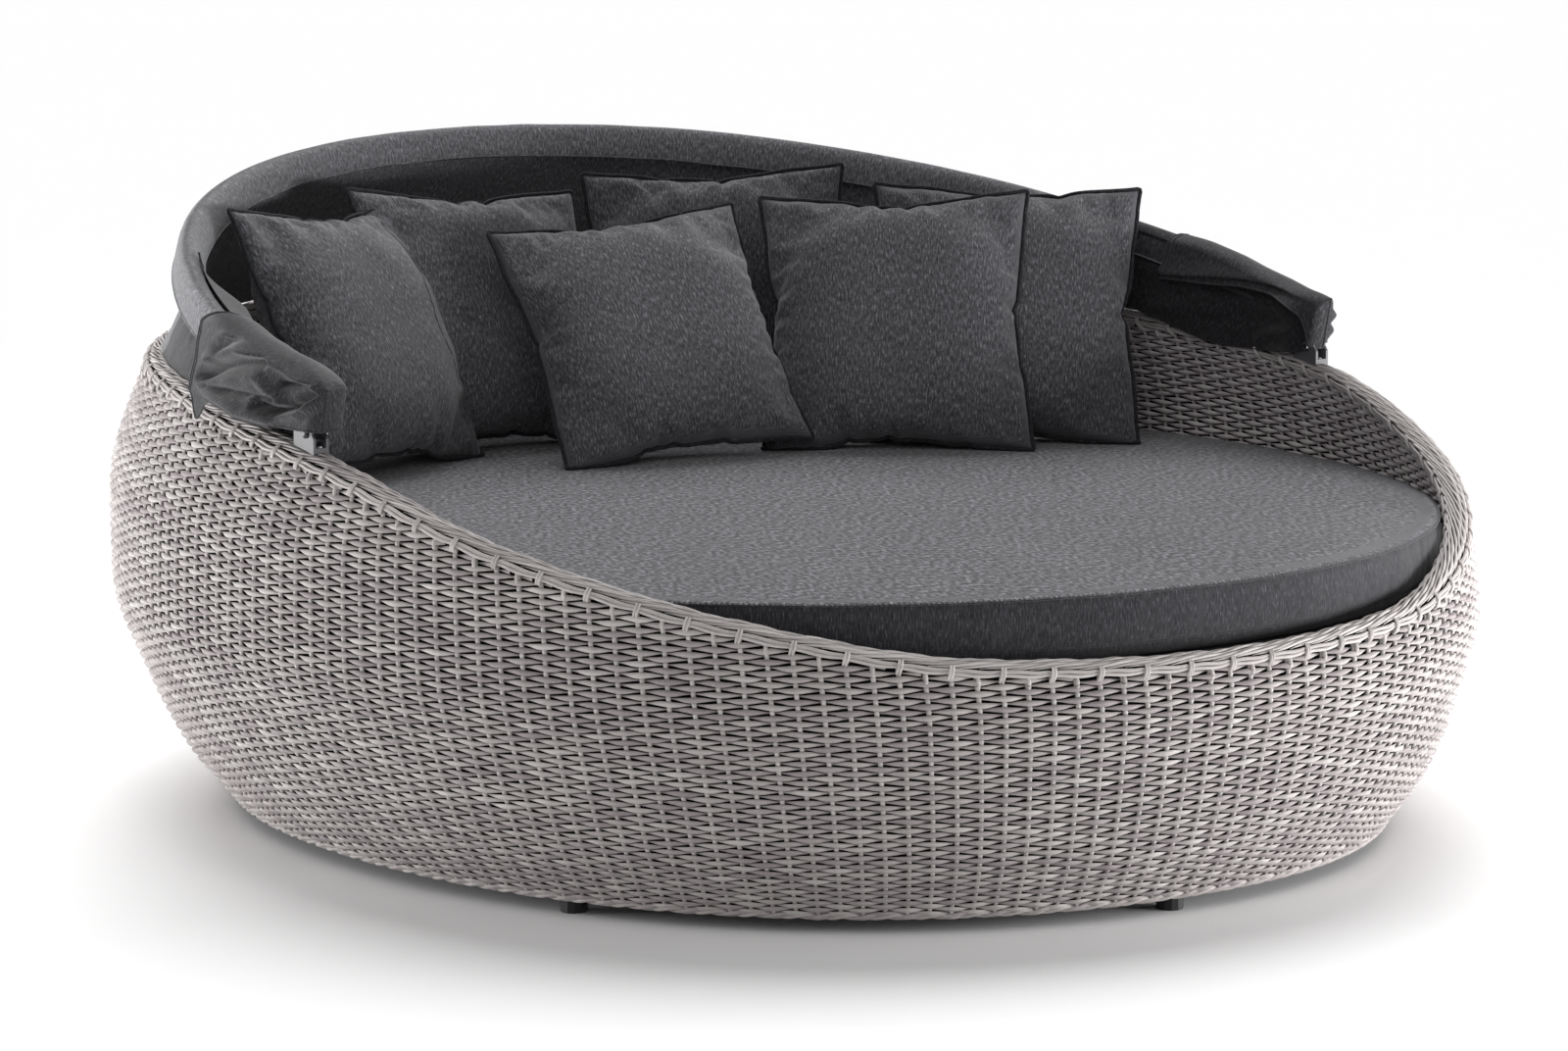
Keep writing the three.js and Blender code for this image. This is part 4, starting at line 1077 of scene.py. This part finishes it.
def make_sleeve():
    """The band of cloth pulled over the front bow, with a wavy inner hem."""
    steps = 620
    u = np.linspace(0.085, 0.915, steps)
    # the section over the bow, from the inner hem over the top to the outer hem
    section = np.array([(-0.0280, -0.0330), (-0.0275, -0.0260), (-0.0262, -0.0180), (-0.0238, -0.0100),
                        (-0.0200, -0.0020), (-0.0150, 0.0050), (-0.0092, 0.0096), (-0.0030, 0.0119),
                        (0.0030, 0.0119), (0.0082, 0.0096), (0.0116, 0.0050), (0.0136, -0.0020),
                        (0.0148, -0.0120), (0.0155, -0.0240), (0.0160, -0.0340), (0.0160, -0.0420)])
    spread = np.linspace(0, 1, 2 * len(section) - 1) * (len(section) - 1)
    o, n = (np.interp(spread, np.arange(len(section)), way)[None] + 0 * u[:, None] for way in section.T)
    run = u[:, None] * bows[2].length
    inner = smooth(-0.002, -0.030, n) * (o < 0)
    outer = smooth(-0.004, -0.042, n) * (o > 0)
    line = stacked(run, 0 * n, 0)
    o = o - inner * (0.001 + 0.0030 * ripple(line, 0.16, 11) + 0.0012 * ripple(line, 0.05, 12))
    n = n + inner * (0.0040 * ripple(line, 0.24, 13) + 0.0014 * ripple(line, 0.07, 14))
    o = o + outer * (0.0015 + 0.0018 * ripple(line, 0.16, 15))
    top = (1 - inner) * (1 - outer)
    n = n + 0.0006 * top * ripple(stacked(run, n * 4, o * 4), 0.05, 16)
    points = on_bow(bows[2], u[:, None], o, n)
    piece = cloth_sheet("canopy_sleeve", points)
    # the first half metre of the sleeve from the right hinge gets the hood's darker cloth: painted shade
    with_painted_shade(piece, np.repeat(run[:-1, 0] < SLEEVE_PAINTED_SHADE_TO, len(spread) - 1), hood_shaded_fabric)
    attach(piece, "front_bow")
    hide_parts("bow_sleeve")
    edges = [hem("canopy_sleeve_inner_hem", points[:, 0], 0.0016, "front_bow"),
             hem("canopy_sleeve_outer_hem", points[:, -1], 0.0016, "front_bow")]


def make_skirt():
    """Gathered cloth from the fixed bow down to the rim."""
    steps, rows = 900, 26
    u = np.linspace(0.11, 0.89, steps)
    top = on_bow(bows[0], u, 0 * u - 0.0100, 0 * u - 0.0035)
    half = SHELL_HALF * RIM_WIDTH_SHARE - WALL / 2
    lean = LEAN_SHARE * (RIM_BACK - LEAN_LEVEL)
    deep = SHELL_HALF * RIM_WIDTH_SHARE * DEPTH_SHARE
    back, front = deep + lean - WALL / 2, deep - lean - WALL / 2
    turn = np.arctan2(top[:, 0] / half, -top[:, 1] / np.where(top[:, 1] > 0, back, front))
    foot = wall(turn, rim_top(turn), np.full(steps, WALL / 2)) + [0, 0, 0.0018]
    out = unit(foot * [1, 1, 0])
    v = np.linspace(0, 1, rows)[None]
    points = top[:, None] + (foot - top)[:, None] * v[..., None]
    run = (u * bows[0].length)[:, None]
    line = stacked(run, 0.12 * v, 0)
    tall = np.linalg.norm(foot - top, axis=-1)[:, None]
    hang = np.sin(math.pi * v) ** 0.7
    fold = 0.5 * ripple(line, 0.055, 21) + 0.35 * ripple(line, 0.027, 22) + 0.4 * ripple(line, 0.12, 23)
    near_top = 0.35 * np.cos(run * 2 * math.pi / 0.021 + 3 * ripple(line, 0.2, 24)) * (1 - smooth(0.05, 0.5, v))
    wave = (0.0085 * fold + 0.004 * near_top) * hang * np.clip(tall / 0.12, 0.3, 1)
    points = points + (wave - 0.004 * hang)[..., None] * out[:, None]
    # the skirt is in the lighter copy of the canopy cloth: painted light
    piece = cloth_sheet("canopy_rear_skirt", points, skirt_lit_fabric)
    # the skirt's ends beside the hoods get the hood's darker cloth: painted shadow of the hoods
    with_painted_shade(piece, np.repeat(np.abs(u[:-1] - 0.5) > SKIRT_PAINTED_SHADE_FROM, rows - 1), hood_shaded_fabric)
    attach(piece, "base")
    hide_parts("rear_skirt")


def make_panel(k, name):
    """A canopy panel in pleats between two folded bows."""
    steps, pleats, per = 420, 14, 6
    rows = pleats * per + 1
    u = np.linspace(0.112, 0.888, steps)[:, None]
    v = np.linspace(0, 1, rows)[None]
    reach = np.sin(math.pi * u) ** 0.8
    fold = (1 - np.cos(v * pleats * 2 * math.pi)) / 2
    run = u * bows[k].length
    line = stacked(run, 0.2 * v, 0)
    o = 0.004 - (0.024 * reach) * fold * (0.85 + 0.15 * ripple(line, 0.1, 31 + k)) - 0.0008
    lower, upper = (on_bow(bow, u, o, 0 * o) for bow in bows[k:k + 2])
    points = lower * (1 - v[..., None]) + upper * v[..., None]
    piece = cloth_sheet(name, points)
    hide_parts(name.replace("_cloth", ""))
    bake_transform(piece)


def ridged(s, t, lines, wide):
    """Height of soft folds that run along lines of places (s, t)."""
    height = 0 * (s + t)
    for points in lines:
        near = np.full(height.shape, 9.0)
        for (a, b), (c, d) in zip(points, points[1:]):
            share = np.clip(((s - a) * (c - a) + (t - b) * (d - b)) / ((c - a) ** 2 + (d - b) ** 2), 0, 1)
            near = np.minimum(near, np.hypot(s - a - share * (c - a), t - b - share * (d - b)))
        height = np.maximum(height, np.exp(-(near / wide) ** 2))
    return height


def seen(points):
    """Where the photograph shows points, in its pixels."""
    turn = camera.rotation_euler.to_matrix()
    p = (points - np.array(camera.location)) @ np.array(turn)
    wide, tall = PHOTO_SIZE
    focal = camera_data.lens / camera_data.sensor_width * wide
    return stacked(wide / 2 + focal * p[..., 0] / -p[..., 2], tall / 2 - focal * p[..., 1] / -p[..., 2])


def on_leg(side, s, o, n):
    """Points beside a leg of the front bow; s is the way from the hinge, n is above the bow's middle."""
    u = (s - 0.013) / bows[2].length
    return on_bow(bows[2], u if side > 0 else 1 - u, o, n)


OUTER_FOLDS = [[(0.29, 0.070), (0.20, 0.034), (0.13, 0.006)],
               [(0.225, 0.084), (0.10, 0.048), (0.01, 0.028), (-0.03, 0.012)],
               [(0.12, 0.082), (0.045, 0.070), (-0.02, 0.040), (-0.03, 0.022)]]
INNER_FOLDS = [[(0.33, 0.040), (0.22, 0.030), (0.10, 0.020), (0.03, 0.010)]]
# The hoods' outlines: s behind the hinge against height or width; side is -1 left, 1 right
outer_hem = through([[-0.04, -0.048], [0.0, -0.056], [0.04, -0.064], [0.12, -0.076], [0.20, -0.084],
                     [0.235, -0.098], [0.262, -0.130], [0.29, -0.104], [0.36, -0.088]])
inner_hem = {
    -1: through([[-0.04, -0.048], [0.02, -0.054], [0.10, -0.056], [0.20, -0.050], [0.30, -0.042], [0.36, -0.038]]),
    1: through([[-0.04, -0.052], [-0.018, -0.061], [-0.008, -0.058], [0.004, -0.034], [0.022, -0.017],
                [0.05, -0.012], [0.09, -0.010], [0.165, -0.017], [0.25, -0.036], [0.30, -0.046], [0.36, -0.058]])}
upper_lip = through([[-0.04, 0.010], [0.06, 0.008], [0.105, 0.004], [0.17, -0.004], [0.23, -0.017],
                     [0.30, -0.036], [0.36, -0.048]])
inner_bulge = {
    -1: through([[-0.04, 0.036], [0.0, 0.042], [0.10, 0.046], [0.20, 0.045], [0.27, 0.040], [0.32, 0.030]]),
    1: through([[-0.04, 0.019], [-0.01, 0.021], [0.04, 0.027], [0.36, 0.029]])}
roof_puff = {
    1: through([[-0.04, 0.005], [-0.02, 0.008], [0.0, 0.008], [0.04, 0.006], [0.10, 0.003], [0.20, 0.005],
                [0.30, 0.009], [0.335, 0.008], [0.36, 0.003]]),
    -1: through([[-0.04, 0.004], [-0.02, 0.010], [0.02, 0.014], [0.06, 0.016], [0.14, 0.015], [0.20, 0.012],
                 [0.28, 0.010], [0.31, 0.005]])}
# folds of the left hood as the photograph shows them: height, width and line, in its pixels
LEFT_FOLDS = [
    (0.008, 6, [(234, 339), (263, 332), (281, 341)]),
    (0.015, 7, [(216, 366), (243, 357), (270, 361), (291, 373), (311, 389), (322, 395)]),
    (0.010, 6, [(210, 391), (237, 388), (263, 385), (277, 399), (289, 408)]),
    (0.008, 4, [(257, 405), (276, 413), (291, 413)]),
    (0.014, 6, [(214, 398), (246, 421), (277, 428), (306, 422), (326, 403)]),
    (-0.013, 5, [(221, 361), (232, 347), (256, 342), (275, 341)]),
    (-0.024, 6, [(210, 384), (222, 374), (242, 370), (266, 370)]),
    (-0.014, 3, [(212, 394), (229, 398), (253, 403), (279, 408)]),
    (-0.024, 5, [(262, 412), (284, 419), (304, 414), (317, 403)]),
    (-0.013, 3, [(290, 391), (316, 394)])]
flap_hem = through([[-0.04, -0.064], [0.0, -0.070], [0.06, -0.092], [0.12, -0.107], [0.25, -0.127],
                    [0.36, -0.124], [0.48, -0.100], [0.62, -0.060]])
FLAP_FOLDS = [[(0.06, 0.03), (0.2, 0.05), (0.36, 0.085)], [(0.0, 0.05), (0.12, 0.08)], [(0.25, 0.02), (0.42, 0.05)]]


def make_gather(side, name):
    """The hood of cloth over a hinge: roof, an inner side and a folded outer side."""
    rows, cap_rows, half = 150, 16, 40
    turned_at, cap, far = (-0.006, 0.010, 0.350) if side > 0 else (-0.020, 0.018, 0.305)
    s = np.concatenate([turned_at - cap * np.cos(np.linspace(0, math.pi / 2, cap_rows)),
                        np.linspace(turned_at + 0.002, far, rows - cap_rows)])[:, None]
    w = np.linspace(0, 1, half)[None]
    puff = roof_puff[side](s) + 0.0015 * ripple(stacked(s, 0, 0), 0.05, 41 + side)
    closed = np.sqrt(np.clip(1 - (np.minimum(s - turned_at, 0) / cap) ** 2, 0.0009, 1))
    narrow = smooth(-0.03, 0.10, s)
    seed = 43 + side
    sides = []
    for way, hem_curve in ((-1, inner_hem[side]), (1, outer_hem)):
        foot = hem_curve(s)
        wide = inner_bulge[side](s) if way < 0 else (0.018 if side < 0 else 0.012) + 0.010 * narrow
        round_part = 0.30
        turned = np.clip(w / round_part, 0, 1) * math.pi / 2
        down = np.clip((w - round_part) / (1 - round_part), 0, 1)
        o = wide * np.sin(turned) + (0.010 if way < 0 else 0.008) * down * narrow
        top = 0.011 + puff
        n = top - 0.014 * (1 - np.cos(turned)) - down * (top - 0.014 - foot)
        t = 0.011 - n
        lines = stacked(s, t, 0)
        deep = smooth(0.12, 0.5, w)
        if way > 0:
            if side < 0:
                plain = seen(on_leg(side, s, way * o, n))
                for size, spread, line in LEFT_FOLDS:
                    height = ridged(plain[..., 0], plain[..., 1], [line], spread)
                    o = o + smooth(0.10, 0.30, w) * closed * size * height
            else:
                folds = ridged(s + 0.010 * ripple(lines, 0.09, seed), t, OUTER_FOLDS, 0.0105)
                o = o + deep * (0.014 * folds - 0.003)
            o = o + 0.0015 * deep * ripple(lines, 0.03, seed + 1)
        else:
            if side > 0:
                under = upper_lip(s) - n
                lip = 0.004 * np.exp(-(np.minimum(under, 0) / 0.012) ** 2) * (under < 0.0015)
                groove = 0.008 * smooth(0.0, 0.004, under) * np.exp(-under.clip(0) / 0.02)
                o = o + smooth(0.0, 0.10, s) * (lip - groove)
                o = o + 0.0035 * deep * ripple(lines, 0.06, seed + 3)
            else:
                folds = ridged(s, t + 0.006 * ripple(lines, 0.08, seed + 2), INNER_FOLDS, 0.010)
                o = (o + deep * (0.007 * folds + 0.0030 * ripple(lines, 0.05, seed + 3))
                     - 0.004 * smooth(0.75, 1, w) * narrow)
        n = n + 0.0020 * (1 - deep) * ripple(lines + [0, 0.3, 0], 0.06, seed + 4)
        sides.append(on_leg(side, s, way * np.maximum(o, 0.002 * w) * closed, n))
    points = np.concatenate([sides[0][:, ::-1], sides[1][:, 1:]], 1)
    # the hood and its hems are in the darker copy of the canopy cloth: painted shade
    piece = cloth_sheet(f"{name}_cloth", points, hood_shaded_fabric, flip=side < 0)
    beside_hinge(piece, side)
    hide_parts(name)
    paths = (points[:, 0], points[:, -1], points[0], points[-1], points[-4])
    edges = [hem(f"{name}_hem_{i}", path, 0.0015, side, hood_shaded_fabric) for i, path in enumerate(paths)]


def make_flap(side, name):
    """The cloth that hangs inside the legs, under the hood."""
    rows, columns = 190, 34
    s = np.linspace(-0.004 if side > 0 else -0.022, 0.418 if side > 0 else 0.600, rows)[:, None]
    w = np.linspace(0, 1, columns)[None]
    foot = flap_hem(s)
    start = 0.004 if side > 0 else -0.018 + 0.030 * smooth(0.20, 0.30, s)
    n = start + (foot - start) * w
    line = stacked(s + 0.25 * w, 0.10 * w, 0)
    narrow = smooth(-0.03, 0.10, s)
    belly = 0.052 * smooth(0.16, 0.30, s) * smooth(0.60, 0.44, s)
    if side > 0:
        o = 0.0150 + 0.004 * smooth(0.0, 0.04, s) + 0.012 * w * smooth(-0.02, 0.05, s)
    else:
        o = 0.0125 + 0.004 * narrow + (0.012 + 0.012 * narrow) * w * narrow + belly * smooth(0.0, 0.35, w)
    sway = smooth(0.05, 0.4, w) * narrow
    o = o + sway * (0.0060 * ripple(line, 0.085, 51 + side) + 0.0030 * ripple(line, 0.035, 53 + side))
    o = o + 0.006 * sway * ridged(s, w * 0.1, FLAP_FOLDS, 0.010)
    points = on_leg(side, s, -o, n)
    # the flaps and their hems are in the darker copies of the canopy cloth: painted shade under the hoods
    piece = cloth_sheet(f"{name}_cloth", points, flap_shaded_fabric if side > 0 else hood_shaded_fabric, flip=side > 0)
    beside_hinge(piece, side)
    paths = (points[:, -1], points[0], points[-1])
    edges = [hem(f"{name}_hem_{i}", path, 0.0015, side, flap_shaded_fabric) for i, path in enumerate(paths)]


make_sleeve()
make_skirt()
make_panel(0, "canopy_rear_panel_cloth")
make_panel(1, "canopy_front_panel_cloth")
make_gather(-1, "canopy_gather_left")
make_gather(1, "canopy_gather_right")
make_flap(-1, "canopy_flap_left")
make_flap(1, "canopy_flap_right")

# The CAD pieces that stay get their own materials
finishes = {
    "rim_tube": powder, "base_ring": powder, "deck_ring": powder, "frame_rib": powder, "deck_beam": powder,
    "centre_post": powder, "deck_panel": board, "centre_glide": plastic, "foot_glide": plastic,
    "bow_": bow_coat, "hinge_bracket": powder, "pivot_bolt": dark_steel, "lock_nut": steel,
    "leaf_washer": plastic, "stay_screw": steel, "bracket_screw": steel,
}
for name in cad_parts:
    for start, what in finishes.items():
        if name.startswith(start):
            node = bpy.data.objects.get(name)
            if node is not None and node.data is not None:
                dress(node, what)

# Floor, light and background
FLOOR = 60
floor = mesh_object("floor", [(-FLOOR, -FLOOR, 0), (FLOOR, -FLOOR, 0), (FLOOR, FLOOR, 0), (-FLOOR, FLOOR, 0)],
                    [(0, 1, 2, 3)], flat=True)
floor_look = Look("floor_paint", 0.9, 0.0)
floor_look.feed(floor_look.shader, {"Base Color": (1, 1, 1, 1)})
dress(floor, floor_look.material)

world = bpy.data.worlds.new("studio")
scene.world = world
world.use_nodes = True
WORLD_LIGHT = 0.12
soft = world.node_tree.nodes["Background"]
soft.inputs[0].default_value = (1, 1, 1, 1)
soft.inputs[1].default_value = WORLD_LIGHT


def lamp(name, energy, angle, tilt, turn):
    """A sun as wide as angle; a negative tilt shines from behind the object, a positive one from the camera."""
    data = bpy.data.lights.new(name, "SUN")
    data.energy = energy
    data.angle = math.radians(angle)
    linked(name, data).rotation_euler = (math.radians(tilt), 0, math.radians(turn))


def low_box(name, watts, along, nearer):
    """A wide, low soft box beside the object, along metres to the camera's right and nearer metres nearer to it."""
    data = bpy.data.lights.new(name, "AREA")
    data.shape = "RECTANGLE"
    data.size, data.size_y = 2.4, 0.5
    data.energy = watts
    obj = linked(name, data)
    right = np.array([math.cos(camera.rotation_euler.z), math.sin(camera.rotation_euler.z)])
    ahead = np.array([-right[1], right[0]])
    place = right * along - ahead * nearer
    obj.location = (*place, 0.30)
    obj.rotation_euler = (math.pi / 2, 0, math.atan2(-place[1], -place[0]) - math.pi / 2)
    obj.visible_camera = False


lamp("key", 2.78, 48, -34, -28)
lamp("front", 0.68, 60, 50, -40)
low_box("left", 55, -3.1, 0.1)
low_box("right", 90, 3.0, 0.6)
